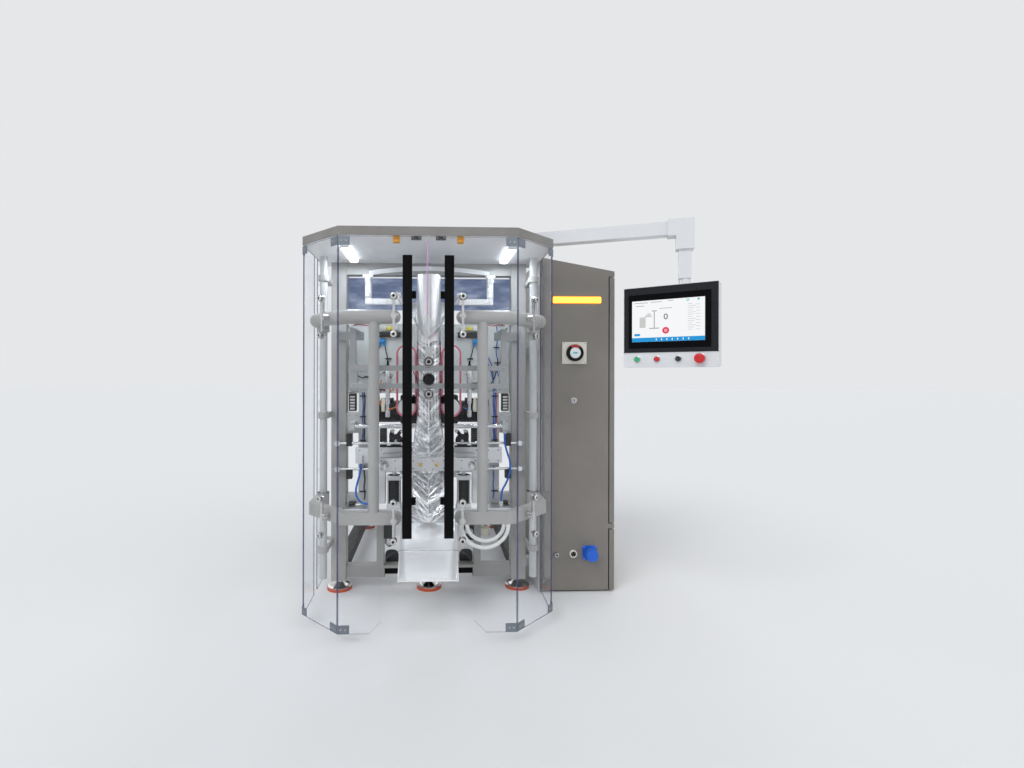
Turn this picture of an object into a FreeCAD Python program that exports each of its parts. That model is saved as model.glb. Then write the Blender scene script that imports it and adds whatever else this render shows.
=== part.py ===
"""Vertical form fill seal machine, in millimetres.

X runs to the right, Y away from the operator and Z up.  The origin is on the floor under the
middle front foot.  The sections follow the machine as it is put together: frame, roof, doors,
film path, sealing tools, discharge chute, film unwinding, control cabinet and control panel.
"""
import FreeCAD, Part
import math
import os

V = FreeCAD.Vector
UP = V(0, 0, 1)
os.makedirs("parts", exist_ok=True)

# Frame
leg_width = 76.0
leg_spacing = 916.0
frame_depth = 1105.0
frame_base = 50.0
post_height = 1665.0
rear_height = 1250.0
rail_size = 60.0
rail_base = 64.0
tube_corner = 4.0
step_back = 48.0
step_half = 225.0
step_lip = 14.0
chute_post_x = 230.0
chute_post_width = 36.0
chute_post_top = 345.0

# Levelling feet
pad_radius = 62.0
pad_height = 15.0
pad_rim = 4.0
dome_height = 18.0
dome_top_radius = 16.0
stem_radius = 10.0
foot_nut = 12.0
foot_nut_wall = 7.0

# Guard and roof
guard_side_clearance = 49.0
guard_front = -585.0
guard_bevel = 184.0
guard_base = 44.0
roof_top = 1700.0
roof_depth = 35.0
roof_back = 60.0
roof_sheet = 3.0
roof_lip = 3.0
collar_height = 14.0
feed_hole_radius = 88.0
light_length = 300.0
light_width = 36.0
light_height = 14.0
light_x = 369.0
light_front = -412.0
switch_x = 119.0
switch_width = 26.0
switch_height = 25.0
latch_x = 30.0
latch_width = 41.0
latch_height = 12.0
latch_depth = 20.0
seat_gap = 0.3

# Guard doors
pane_thickness = 5.0
pane_top_gap = 5.0
pane_seam = 4.0
mitre_gap = 0.6
door_tube_radius = 30.0
door_tube_bend = 60.0
door_tube_z = 1340.0
door_tube_end = 117.0
door_beam_height = 52.0
door_beam_depth = 40.0
door_beam_bend = 30.0
door_beam_z = 496.0
door_beam_end = 112.0
door_frame_y = -510.0
door_side_gap = 6.0
door_knee_inset = 12.0
upright_radius = 22.5
upright_x = 229.0
hinge_inset = 42.0
hinge_y = -166.0
hinge_radius = 18.0
hinge_wall = 10.0
hinge_clearance = 0.3
sleeve_lip = 8.0
hinge_post_base = 114.0
bracket_heights = (255.0, 900.0, 1560.0)
bracket_height = 28.0
bracket_wall = 8.0
standoff_radius = 9.0
standoff_y = 8.0
side_pane_back = 45.0
side_pane_gap = 24.0
side_panel_back = 75.0
side_panel_base = 22.0
window_base = 1433.0
window_top = 1600.0
window_lap = 20.0
window_thickness = 6.0
chute_gap_half = 190.0
chute_gap_top = 381.0
chute_gap_corner = 88.0
pane_corner_cut = 50.0
holder_x = 141.5
holder_reach = 78.0
holder_cap_radius = 13.0
holder_cap = 6.0
holder_bolt_radius = 5.0
holder_washer_radius = 14.0
holder_washer = 10.0
holder_link = 10.0
holder_link_depth = 8.0
bolt_clearance = 0.3
bevel_gap = 58.0
corner_plate = 3.0
corner_plate_height = 34.0
knee_leg = 48.0
side_leg = 34.0
handle_x = 84.5
handle_width = 38.0
handle_depth = 20.0
handle_base = 439.0
handle_top = 1577.0
handle_block = 12.0
handle_block_height = 30.0
handle_block_width = 28.0
handle_block_shift = 16.0
handle_block_heights = (584.0, 995.0, 1421.0)

# Forming tube, film and bag
bag_y = -250.0
tube_radius = 56.5
tube_wall = 2.0
tube_top = 1561.0
tube_end = 905.0
film_thickness = 1.0
film_lap = 12.0
seal_z = 690.0
seal_thickness = 2.0
bag_width = 150.0
bag_foot = 402.0
bag_fullness = 84.0
bag_bulge = 60.0
bag_spread = 50.0
seam_z = 1266.0

# Forming shoulder and its carrier
shoulder_back_z = 1500.0
shoulder_clearance = 1.5
shoulder_sheet = 3.0
wing_reach = 144.0
wing_rise = 185.0
wing_back = 60.0
collar_rise = 10.0
shoulder_arm_x = 134.0
shoulder_arm_width = 16.0
shoulder_arm_z = 1455.0
shoulder_arm_height = 30.0
shoulder_arm_front = 15.0
column_x = 312.0
column_y = -13.0
column_radius = 15.0
column_flange = 24.0
column_flange_height = 8.0

# Pull belts and their drives
back_plate_base = 1000.0
back_plate_top = 1362.0
back_plate_thickness = 8.0
back_plate_lap = 7.0
belt_width = 32.0
belt_loop_width = 94.0
belt_thickness = 8.0
belt_base = 898.0
belt_top = 1238.0
belt_shaft_radius = 9.0
belt_shaft_nose = 8.0
gearbox_half = 46.0
gearbox_depth = 118.0
gearbox_rise = 45.0
gearbox_height = 150.0
gearbox_corner = 8.0
motor_radius = 56.0
motor_length = 150.0
motor_drop = 45.0

# Vertical sealer and its frame
sealer_front = -345.0
sealer_bar_half = 361.0
sealer_bar = 8.0
sealer_bar_height = 24.0
sealer_bar_heights = (1034.0, 1115.0)
sealer_end = 39.0
sealer_end_depth = 30.0
sealer_end_lap = 8.0
sealer_arm_x = 330.0
sealer_arm_width = 26.0
sealer_arm_top = 1278.0
sealer_beam_height = 28.0
sealer_foot = 12.0
sealer_foot_lap = 8.0
seal_bar_half = 16.0
seal_bar_base = 975.0
seal_bar_height = 250.0
seal_bolt_radius = 19.0
seal_bolt = 16.0
seal_bolt_heights = (1010.0, 1155.0)
seal_knob_radius = 27.0
seal_knob = 34.0
seal_knob_z = 1077.0

# Sealing jaws
jaw_half = 221.0
jaw_height = 58.0
jaw_bar_depth = 40.0
jaw_depth = 90.0
jaw_face_half = 105.0
jaw_face_height = 24.0
jaw_face_rim = 4.0
jaw_plate_half = 27.0
jaw_plate = 12.0
jaw_travel = 60.0
shaft_x = 195.0
shaft_radius = 10.0
shaft_clearance = 0.08
shaft_nose = 20.0
carriage_y = -60.0
carriage_depth = 30.0
carriage_overhang = 11.0
carriage_base = 650.0
carriage_height = 80.0
drive_rod_radius = 8.0
drive_rod_lap = 10.0
drive_radius = 30.0
drive_length = 140.0
drive_spare = 12.0
guide_x = 334.0
guide_width = 50.0
guide_depth = 50.0
guide_block_height = 105.0
guide_block_top = 905.0
guide_foot_height = 50.0
thick_rod_radius = 11.0
thick_rod_z = 841.0
thick_rod_y = -100.0
clamp_wall = 8.0
clamp_width = 24.0
tie_rod_radius = 6.5
tie_rod_overhang = 22.0
tie_rod_heights = (623.0, 752.0)
tie_clamp = 12.0
mount_front = -140.0
mount_top = 440.0
mount_height = 40.0
lift_x = 172.0
lift_y = -102.0
lift_radius = 32.0
lift_top = 600.0
tab_front = 80.0
tab_width = 60.0
tab_rim = 8.0

# Discharge chute
chute_half = 132.0
chute_sheet = 2.0
chute_rise = 24.0
chute_back = -76.0
chute_knee_y = -318.0
chute_knee_z = 300.0
chute_lip_y = -452.0
chute_lip_z = 205.0

# Film reel and rollers
reel_inset = 325.0
reel_z = 470.0
reel_radius = 190.0
reel_core_radius = 38.0
reel_half = 150.0
reel_shaft_radius = 20.0
reel_cone_radius = 52.0
reel_cone = 26.0
reel_plate = 12.0
reel_plate_half = 60.0
reel_plate_inset = 22.0
roller_radius = 24.0
roller_inset = 6.0
rear_roller_inset = 125.0
rear_roller_rises = (40.0, 290.0)
top_roller_places = (300.0, 560.0)
top_roller_z = 1215.0
unwind_rail_front = 220.0
unwind_plate = 14.0
unwind_post_half = 40.0
unwind_post_base = 860.0
unwind_rail_height = 70.0

# Control cabinet
cabinet_gap = 12.0
cabinet_width = 346.0
cabinet_front = -85.0
cabinet_depth = 725.0
cabinet_base = 10.0
cabinet_top_left = 1690.0
cabinet_top_right = 1622.0
cabinet_wall = 3.0
cabinet_door = 25.0
cabinet_door_wall = 2.0
cabinet_door_gap = 5.0
cabinet_lid = 26.0
cabinet_split = 332.0
cabinet_rib = 25.0
door_barrel = 9.0
door_knuckle = 30.0
door_knuckle_inset = 30.0
door_leaf = 3.0
door_strap = 45.0
door_pin_radius = 4.0
door_pin_clearance = 0.08
bar_light = (626.0, 866.0, 1462.0, 1490.0)
bar_light_depth = 6.0
switch_plate = (670.0, 793.0, 1153.0, 1263.0)
switch_plate_depth = 8.0
switch_knob_radius = 42.0
switch_knob = 18.0
lock_place = (731.0, 968.0)
lock_radius = 12.0
lock_depth = 10.0
small_socket = (644.0, 190.0)
small_socket_radius = 11.0
round_socket = (728.0, 195.0)
round_socket_radius = 19.0
inlet_place = (812.0, 199.0)
inlet_flange_radius = 34.0
inlet_flange = 12.0
inlet_cap_radius = 29.0
inlet_cap = 44.0

# Control arm and panel
arm_pivot_inset = 92.0
arm_pivot_y = -228.0
arm_length = 699.0
arm_turn = 21.2
arm_height = 57.0
arm_clearance = 6.0
arm_base_radius = 60.0
arm_head_radius = 46.0
arm_pin_radius = 16.0
arm_pin_clearance = 0.3
arm_pin_cover = 12.0
elbow_back = 70.0
elbow_end = 36.0
elbow_side = 6.0
elbow_top = 8.0
elbow_base = 1640.0
drop_size = 50.0
panel_width = 393.0
panel_height = 355.0
panel_depth = 46.0
panel_corner = 8.0
panel_z = 1309.0
panel_turn = 38.0
panel_side_offset = 50.0
panel_tube_offset = 55.0
swivel_radius = 24.0
swivel_top = 205.0
swivel_base = 120.0
neck_half = 40.0
neck_base = 60.0
neck_top = 150.0
bezel_depth = 3.0
bezel_rim = 3.0
bezel_base = 66.0
bezel_top_rim = 2.0
glass_depth = 2.0
glass_left_rim = 24.0
glass_right_rim = 30.0
glass_base = 84.0
glass_top_rim = 34.0
button_row = 36.0
button_places = (-135.0, -50.0, 38.0)
button_radius = 11.0
button_depth = 9.0
stop_place = 126.0
stop_stem_radius = 14.0
stop_stem = 18.0
stop_radius = 20.0
stop_depth = 16.0

# Hoses and air tubes
hose_radius = 10.0
tube_line_radius = 5.0
fitting_height = 22.0
fitting_radius = 12.0
port_size = 18.0
front_hose_y = -127.0
back_hose_y = -104.0
front_hose = ((160.0, 378.0), (160.0, 329.0), (187.0, 275.0), (240.0, 244.0), (302.0, 241.0),
              (357.0, 269.0), (396.0, 322.0), (396.0, 378.0))
back_hose = ((188.0, 378.0), (188.0, 336.0), (212.0, 294.0), (256.0, 270.0), (306.0, 268.0),
             (350.0, 290.0), (377.0, 333.0), (377.0, 378.0))
left_tube_y = -90.0
left_tube = ((-340.0, 655.0), (-340.0, 609.0), (-356.0, 560.0), (-366.0, 511.0), (-351.0, 471.0),
             (-323.0, 452.0), (-290.0, 452.0))
right_tube_y = -90.0
right_tube = ((379.0, 803.0), (379.0, 755.0), (393.0, 706.0), (410.0, 656.0), (407.0, 602.0),
              (388.0, 553.0), (362.0, 511.0), (362.0, 464.0))

leg_x = leg_spacing / 2
leg_inner = leg_x - leg_width / 2
leg_outer = leg_x + leg_width / 2
rail_top = rail_base + rail_size
guard_half = leg_outer + guard_side_clearance + pane_thickness
hinge_x = guard_half - hinge_inset


def box(x0, x1, y0, y1, z0, z1):
    """A block between two corners, given in any order."""
    low = V(min(x0, x1), min(y0, y1), min(z0, z1))
    return Part.makeBox(abs(x1 - x0), abs(y1 - y0), abs(z1 - z0), low)


def rod(start, end, radius):
    """A round bar from start to end."""
    axis = end - start
    return Part.makeCylinder(radius, axis.Length, start, axis)


def prism(points, z0, z1):
    """A plan outline raised from z0 to z1."""
    ring = [V(x, y, z0) for x, y in points]
    face = Part.Face(Part.makePolygon(ring + ring[:1]))
    return face.extrude(V(0, 0, z1 - z0))


def profile_bar(points, width):
    """A closed side outline of (y, z) points, made width wide about the middle plane."""
    ring = [V(-width / 2, y, z) for y, z in points]
    return Part.Face(Part.makePolygon(ring + ring[:1])).extrude(V(width, 0, 0))


def soft_edges(block, radius, axis):
    """Round the block's edges that run along axis."""
    edges = [e for e in block.Edges if abs(e.tangentAt(e.FirstParameter).dot(axis)) > 0.9]
    return block.makeFillet(radius, edges)


def mirrored(shape):
    """The same piece on the other side of the middle plane."""
    return shape.mirror(V(0, 0, 0), V(1, 0, 0))


def both_sides(piece):
    """A piece and its mirror image."""
    return [piece, mirrored(piece)]


def fused(pieces):
    """The pieces welded into one solid."""
    whole = pieces[0].fuse(pieces[1:]) if len(pieces) > 1 else pieces[0]
    return whole.removeSplitter()


def save(node, *pieces):
    """Write one node; its pieces stay separate solids."""
    solids = [solid for piece in pieces for solid in piece.Solids]
    shape = solids[0] if len(solids) == 1 else Part.makeCompound(solids)
    shape.exportStep("parts/" + node + ".step")


def frame():
    """Welded square tube frame; the front bottom rail steps back between the chute posts."""
    def leg(y, top):
        half = leg_width / 2
        return soft_edges(box(leg_x - half, leg_x + half, y - half, y + half, frame_base, top),
                          tube_corner, UP)
    save("frame_legs", *both_sides(leg(0, post_height)), *both_sides(leg(frame_depth, rear_height)))

    half = rail_size / 2
    side_start = leg_width / 2
    side_end = frame_depth - leg_width / 2
    front_rail = box(-leg_inner, leg_inner, -half, half, rail_base, rail_top)
    recess = box(-step_half, step_half, -half, -half + step_back, rail_base, rail_top - step_lip)
    stub = box(chute_post_x, chute_post_x + chute_post_width, -half, half, rail_top, chute_post_top)
    front_rail = fused([front_rail.cut(recess)] + both_sides(stub))
    rear_rail = box(-leg_inner, leg_inner, frame_depth - half, frame_depth + half, rail_base, rail_top)
    low = box(leg_x - half, leg_x + half, side_start, side_end, rail_base, rail_top)
    save("bottom_rails", front_rail, rear_rail, *both_sides(low))

    rear_z = rear_height - rail_size
    high = box(leg_x - half, leg_x + half, side_start, side_end, rear_z, rear_height)
    top = box(-leg_inner, leg_inner, -half, half, post_height - rail_size, post_height)
    rear_top = box(-leg_inner, leg_inner, frame_depth - half, frame_depth + half, rear_z, rear_height)
    save("upper_rails", top, rear_top, *both_sides(high))


def foot(x, y, carried_z):
    """One levelling foot: rubber pad, then a turned dome with its stem and nut."""
    pad = Part.makeCylinder(pad_radius, pad_height, V(x, y, 0))
    stem_base = pad_height + dome_height
    rim = V(pad_radius - pad_rim, 0, pad_height)
    lip = V(pad_radius - pad_rim, 0, pad_height + dome_height / 6)
    crown = V(dome_top_radius, 0, stem_base)
    middle = V((lip.x + crown.x) / 2 - pad_rim, 0, pad_height + dome_height * 0.42)
    outline = Part.Wire([Part.LineSegment(V(0, 0, pad_height), rim).toShape(),
                         Part.LineSegment(rim, lip).toShape(), Part.Arc(lip, middle, crown).toShape(),
                         Part.LineSegment(crown, V(0, 0, stem_base)).toShape(),
                         Part.LineSegment(V(0, 0, stem_base), V(0, 0, pad_height)).toShape()])
    dome = Part.Face(outline).revolve(V(0, 0, 0), UP, 360)
    dome.translate(V(x, y, 0))
    stem = Part.makeCylinder(stem_radius, carried_z - stem_base, V(x, y, stem_base))
    nut = Part.makeCylinder(stem_radius + foot_nut_wall, foot_nut, V(x, y, carried_z - foot_nut))
    return pad, fused([dome, stem, nut])


def feet():
    """Five feet: two in front, one under the middle of the front rail, two behind."""
    corners = [(x, y, frame_base) for x in (-leg_x, leg_x) for y in (0, frame_depth)]
    pairs = [foot(x, y, z) for x, y, z in corners + [(0, 0, rail_top - step_lip)]]
    save("foot_pads", *[pad for pad, dome in pairs])
    save("levelling_feet", *[dome for pad, dome in pairs])


def guard_outline(inset, back):
    """Plan outline of the guard, moved inwards by inset, closed at y = back."""
    side = guard_half - inset
    front = guard_front + inset
    cut = guard_bevel - inset * (2 - math.sqrt(2))
    return [(-side, back), (-side, front + cut), (-side + cut, front),
            (side - cut, front), (side, front + cut), (side, back)]


def roof():
    """Folded sheet tray with a flat ceiling, two lamps and the feed collar."""
    base = roof_top - roof_depth
    shell = prism(guard_outline(-roof_lip, roof_back), base, roof_top)
    inner = prism(guard_outline(-roof_lip + roof_sheet, roof_back - roof_sheet), base,
                  roof_top - roof_sheet)
    hole = Part.makeCylinder(feed_hole_radius, 2 * roof_depth + collar_height, V(0, bag_y, base - roof_sheet))
    collar = Part.makeCylinder(feed_hole_radius + roof_sheet, collar_height, V(0, bag_y, roof_top))
    save("roof_canopy", shell.cut(inner).fuse(collar).cut(hole).removeSplitter())
    lining = -roof_lip + roof_sheet + seat_gap
    ceiling = prism(guard_outline(lining, roof_back - roof_sheet - seat_gap), base, base + roof_sheet)
    save("ceiling_panel", ceiling.cut(hole))
    lamp = box(light_x - light_width / 2, light_x + light_width / 2, light_front,
               light_front + light_length, base - light_height, base)
    save("ceiling_lamps", *both_sides(lamp))
    front = guard_front + pane_thickness + sleeve_lip
    switch = box(switch_x, switch_x + switch_width, front, front + switch_width, base - switch_height,
                 base)
    latch = box(latch_x, latch_x + latch_width, front, front + latch_depth, base - latch_height, base)
    save("door_switches", *both_sides(switch), *both_sides(latch))


def bent_bar(points, make_section, bend):
    """A bar swept along a plan path with round bends."""
    edges = []
    last = points[0]
    for before, corner, after in zip(points, points[1:], points[2:]):
        arc, start, end = bend_at(before, corner, after, bend)
        edges += [Part.LineSegment(last, start).toShape(), arc]
        last = end
    edges.append(Part.LineSegment(last, points[-1]).toShape())
    path = Part.Wire(edges)
    return path.makePipeShell([make_section(points[0])], True, True)


def bend_at(before, corner, after, bend):
    """The arc of radius bend that rounds a corner, with its two ends."""
    inward = (before - corner).normalize()
    onward = (after - corner).normalize()
    half_turn = (math.pi - inward.getAngle(onward)) / 2
    reach = bend * math.tan(half_turn)
    start = corner + inward * reach
    end = corner + onward * reach
    middle_of_turn = corner + (inward + onward).normalize() * (bend / math.cos(half_turn))
    middle = middle_of_turn + (corner - middle_of_turn).normalize() * bend
    return Part.Arc(start, middle, end).toShape(), start, end


def door_path(inner_end, side, z):
    """Middle line of a door bar: along the front, over the bevel and back to the hinge."""
    offset = door_frame_y - guard_front
    knee = guard_half - guard_bevel - offset * (math.sqrt(2) - 1) + door_knee_inset
    bevel = beam_side - knee
    return [V(inner_end, door_frame_y, z), V(knee, door_frame_y, z),
            V(side, door_frame_y + bevel, z), V(side, hinge_y, z)]


beam_side = guard_half - pane_thickness - door_side_gap - door_beam_depth / 2


def hinge_sleeve(z, half_height):
    """Sleeve round the hinge post, and its bore."""
    tall = half_height + sleeve_lip
    sleeve = Part.makeCylinder(hinge_radius + hinge_wall, 2 * tall, V(hinge_x, hinge_y, z - tall))
    bore = Part.makeCylinder(hinge_radius + hinge_clearance, 4 * tall, V(hinge_x, hinge_y, z - 2 * tall))
    return sleeve, bore


def upper_tube():
    """Round upper door tube with a closed round nose, welded to its hinge sleeve."""
    points = door_path(door_tube_end + door_tube_radius, hinge_x, door_tube_z)

    def section(at):
        return Part.Wire(Part.makeCircle(door_tube_radius, at, V(1, 0, 0)))
    tube = bent_bar(points, section, door_tube_bend)
    nose = Part.makeSphere(door_tube_radius, points[0])
    sleeve, bore = hinge_sleeve(door_tube_z, door_tube_radius)
    return tube.fuse([nose, sleeve]).cut(bore)


def lower_beam():
    """Flat sided lower door beam with a round end, welded to its hinge sleeve."""
    half_h = door_beam_height / 2
    half_d = door_beam_depth / 2
    points = door_path(door_beam_end + half_h, beam_side, door_beam_z)

    def section(at):
        corners = [at + V(0, -half_d, -half_h), at + V(0, half_d, -half_h),
                   at + V(0, half_d, half_h), at + V(0, -half_d, half_h)]
        return Part.makePolygon(corners + corners[:1])
    beam = bent_bar(points, section, door_beam_bend)
    nose = Part.makeCylinder(half_h, door_beam_depth, points[0] + V(0, -half_d, 0), V(0, 1, 0))
    sleeve, bore = hinge_sleeve(door_beam_z, half_h)
    return beam.fuse([nose, sleeve]).cut(bore)


pane_top = roof_top - roof_depth - pane_top_gap
knee_x = guard_half - guard_bevel
knee_y = guard_front + guard_bevel
mitre = pane_thickness * math.tan(math.radians(22.5))


def front_pane():
    """Flat clear front pane, cut away round the chute."""
    t = pane_thickness
    end = knee_x - mitre_gap
    pane = prism([(pane_seam / 2, guard_front), (end, guard_front), (end - mitre, guard_front + t),
                  (pane_seam / 2, guard_front + t)], guard_base, pane_top)
    r = chute_gap_corner
    depth = 4 * pane_thickness
    y0 = guard_front - pane_thickness
    gap = box(0, chute_gap_half - r, y0, y0 + depth, guard_base - 1, chute_gap_top)
    gap = gap.fuse([box(0, chute_gap_half, y0, y0 + depth, guard_base - 1, chute_gap_top - r),
                    Part.makeCylinder(r, depth, V(chute_gap_half - r, y0, chute_gap_top - r),
                                      V(0, 1, 0))])
    c = pane_corner_cut
    x = chute_gap_half
    tip = [V(x, y0, guard_base + c), V(x + c, y0, guard_base), V(x, y0, guard_base)]
    corner = Part.Face(Part.makePolygon(tip + tip[:1])).extrude(V(0, depth, 0))
    return pane.cut(gap).cut(corner)


def bevel_pane():
    """Clear pane across the corner, its long edges mitred."""
    t = pane_thickness
    g = mitre_gap / math.sqrt(2)
    outline = [(knee_x + g, guard_front + g), (guard_half - g, knee_y - g),
               (guard_half - t - g, knee_y + mitre - g), (knee_x - mitre + g, guard_front + t + g)]
    return prism(outline, guard_base, pane_top)


def side_pane():
    """Clear pane on the side of the door, which ends at the hinge."""
    t = pane_thickness
    start = knee_y + mitre_gap
    back = hinge_y - side_pane_gap
    return prism([(guard_half, start), (guard_half, back), (guard_half - t, back),
                  (guard_half - t, start + mitre)], guard_base, pane_top)


def fixed_side():
    """Clear pane behind the left hinge, and the sheet panel that takes its place on the right."""
    start = hinge_y + hinge_radius + side_pane_gap
    inner = guard_half - pane_thickness
    pane = box(inner, guard_half, start, side_pane_back, guard_base, pane_top)
    panel = box(inner, guard_half, start, side_panel_back, side_panel_base, pane_top)
    return pane, panel


def spider(x, y, angle, z, frame_gap):
    """A glass holder: two bolts through the pane on a link, and a boss to the door frame.

    It is made facing -Y with the pane's outer face at y, then turned by angle about Z.
    """
    t = pane_thickness
    pieces = []
    for dz in (-holder_reach, holder_reach):
        pieces.append(rod(V(0, -holder_cap, z + dz), V(0, 0, z + dz), holder_cap_radius))
        pieces.append(rod(V(0, -1, z + dz), V(0, t + 1, z + dz), holder_bolt_radius))
        pieces.append(rod(V(0, t, z + dz), V(0, t + holder_washer, z + dz), holder_washer_radius))
    link_y = t + holder_link_depth
    half = holder_link / 2
    pieces.append(box(-half, half, link_y - half, link_y + half, z - holder_reach, z + holder_reach))
    pieces.append(rod(V(0, t + half, z), V(0, t + frame_gap, z), holder_cap_radius))
    whole = fused(pieces)
    whole.rotate(V(0, 0, 0), UP, angle)
    whole.translate(V(x, y, 0))
    return whole


def pane_holes(x, y, angle, z):
    """The two bolt holes that a glass holder needs."""
    deep = 3 * pane_thickness
    holes = [rod(V(0, -deep, z + dz), V(0, deep, z + dz), holder_bolt_radius + bolt_clearance)
             for dz in (-holder_reach, holder_reach)]
    pair = holes[0].fuse(holes[1])
    pair.rotate(V(0, 0, 0), UP, angle)
    pair.translate(V(x, y, 0))
    return pair


def corner_bracket(x, y, z0, z1, first, second, length):
    """Folded plate over the joint of two panes; first and second are its leg directions."""
    t = corner_plate

    def leg(direction):
        along = V(math.cos(direction), math.sin(direction), 0)
        out = V(-along.y, along.x, 0)
        if out.dot(V(-x, bag_y - y, 0)) > 0:
            out = out * -1
        start = V(x, y, 0) + out * seat_gap
        corners = [start, start + along * length, start + along * length + out * t, start + out * t]
        return prism([(p.x, p.y) for p in corners], z0, z1)
    return fused([leg(math.radians(first)), leg(math.radians(second))])


def doors():
    """Two mirror image guard doors, each hung on a round hinge post."""
    post = rod(V(hinge_x, hinge_y, hinge_post_base), V(hinge_x, hinge_y, post_height), hinge_radius)
    save("hinge_posts", *both_sides(post))
    arms = []
    for z in bracket_heights:
        low = z - bracket_height / 2
        ring_radius = hinge_radius + bracket_wall
        arm = box(hinge_x - ring_radius + tube_corner, leg_outer, hinge_y - bracket_wall, -leg_width / 2,
                  low, low + bracket_height)
        ring = Part.makeCylinder(ring_radius, bracket_height, V(hinge_x, hinge_y, low))
        bore = Part.makeCylinder(hinge_radius, bracket_height, V(hinge_x, hinge_y, low))
        arms.append(arm.fuse(ring).cut(bore))
        arms.append(rod(V(leg_outer, standoff_y, z), V(guard_half - pane_thickness, standoff_y, z),
                        standoff_radius))
    save("post_brackets", *[piece for arm in arms for piece in both_sides(arm)])

    upright = rod(V(upright_x, door_frame_y, door_beam_z + door_beam_height / 2),
                  V(upright_x, door_frame_y, door_tube_z), upright_radius)
    door_frame = fused([upper_tube(), lower_beam(), upright])

    front_gap = door_frame_y - guard_front - pane_thickness
    panes = {"front": front_pane(), "bevel": bevel_pane(), "side": side_pane()}
    holders = []
    saddle = bent_bar([V(holder_x + door_tube_radius, door_frame_y, door_tube_z),
                       V(knee_x, door_frame_y, door_tube_z), V(knee_x, hinge_y, door_tube_z)],
                      lambda at: Part.Wire(Part.makeCircle(door_tube_radius + seat_gap, at, V(1, 0, 0))),
                      door_tube_bend)
    nose = Part.makeSphere(door_tube_radius + seat_gap,
                           V(door_tube_end + door_tube_radius, door_frame_y, door_tube_z))
    bar = rod(V(door_tube_end + door_tube_radius, door_frame_y, door_tube_z),
              V(knee_x, door_frame_y, door_tube_z), door_tube_radius + seat_gap)
    for z, gap in ((door_tube_z, front_gap - door_tube_radius / 2),
                   (door_beam_z, front_gap - door_beam_depth / 2)):
        holders.append(spider(holder_x, guard_front, 0, z, gap).cut(bar).cut(nose))
        panes["front"] = panes["front"].cut(pane_holes(holder_x, guard_front, 0, z))
    bevel_x = (knee_x + guard_half) / 2
    bevel_y = (guard_front + knee_y) / 2
    for z, gap in ((door_tube_z, bevel_gap - door_tube_radius + holder_bolt_radius - 1),
                   (door_beam_z, bevel_gap - door_beam_depth / 2)):
        holders.append(spider(bevel_x, bevel_y, 45, z, gap))
        panes["bevel"] = panes["bevel"].cut(pane_holes(bevel_x, bevel_y, 45, z))
    brackets = []
    for z0 in (guard_base + corner_plate, pane_top - corner_plate - corner_plate_height):
        z1 = z0 + corner_plate_height
        brackets.append(corner_bracket(knee_x, guard_front, z0, z1, 180, 45, knee_leg))
        brackets.append(corner_bracket(guard_half, knee_y, z0, z1, 225, 90, side_leg))

    face = guard_front - seat_gap
    bar_back = face - handle_block
    half = handle_width / 2
    bar = box(handle_x - half, handle_x + half, bar_back - handle_depth, bar_back, handle_base,
              handle_top)
    block_x = handle_x - half - handle_block_shift
    blocks = [box(block_x, block_x + handle_block_width + handle_block_shift + seat_gap, bar_back, face,
                  z - handle_block_height / 2, z + handle_block_height / 2)
              for z in handle_block_heights]
    handle = fused([bar] + blocks)

    named = {"frame": [door_frame], "panes": list(panes.values()), "glass_holders": holders,
             "corner_brackets": brackets, "handle": [handle]}
    for name, pieces in named.items():
        save("right_door_" + name, *pieces)
        save("left_door_" + name, *[mirrored(piece) for piece in pieces])
    clear_pane, panel = fixed_side()
    rear = box(-leg_inner - window_lap, leg_inner + window_lap, leg_width / 2,
               leg_width / 2 + window_thickness, window_base, window_top)
    save("fixed_panes", mirrored(clear_pane), rear)
    save("right_side_panel", panel)


def shoulder():
    """Forming shoulder: a sheet collar that lifts from the tube into two wings."""
    steps = 24
    edge_radius = tube_radius + film_thickness + 2 * seat_gap + shoulder_clearance
    inner = []
    outer = []
    for i in range(steps):
        turn = 2 * math.pi * i / steps
        back = (1 - math.cos(turn)) / 2
        inner.append(V(edge_radius * math.sin(turn), bag_y - edge_radius * math.cos(turn),
                       seam_z + (shoulder_back_z - seam_z) * back))
        wing = abs(math.sin(turn)) ** 1.2
        side = 0 if i % (steps // 2) == 0 else math.copysign(1, math.sin(turn))
        outer.append(V(side * (shoulder_sheet * 4 + wing_reach * wing),
                       bag_y - (edge_radius + shoulder_sheet * 5) * math.cos(turn) + wing_back * back,
                       seam_z + collar_rise + wing_rise * wing + wing_back * back))

    def ring(points):
        curve = Part.BSplineCurve()
        curve.interpolate(points, PeriodicFlag=True)
        return curve.toShape()
    sheet = Part.makeRuledSurface(ring(inner), ring(outer)).extrude(V(0, 0, -shoulder_sheet))
    z0 = shoulder_arm_z
    z1 = z0 + shoulder_arm_height
    arm_end = column_y + column_radius
    arm = box(shoulder_arm_x, shoulder_arm_x + shoulder_arm_width, bag_y + shoulder_arm_front, arm_end,
              z0, z1)
    cross = box(shoulder_arm_x, column_x + column_radius + seat_gap, column_y - column_radius, arm_end,
                z0, z1)
    top = post_height - rail_size
    column = rod(V(column_x, column_y, z1), V(column_x, column_y, top), column_radius)
    flange = box(column_x - column_flange, column_x + column_flange, column_y - column_radius,
                 column_y + column_radius, top - column_flange_height, top)
    side = fused([arm, cross, column, flange])
    return fused([sheet] + both_sides(side))


def oval(width, depth, z):
    """An upright oval film section."""
    major, minor = max(width, depth) / 2, min(width, depth) / 2
    curve = Part.Ellipse(V(0, bag_y, z), major, minor)
    if depth > width:
        curve.rotate(FreeCAD.Placement(V(0, bag_y, z), UP, 90))
    return Part.Wire(curve.toShape())


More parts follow.
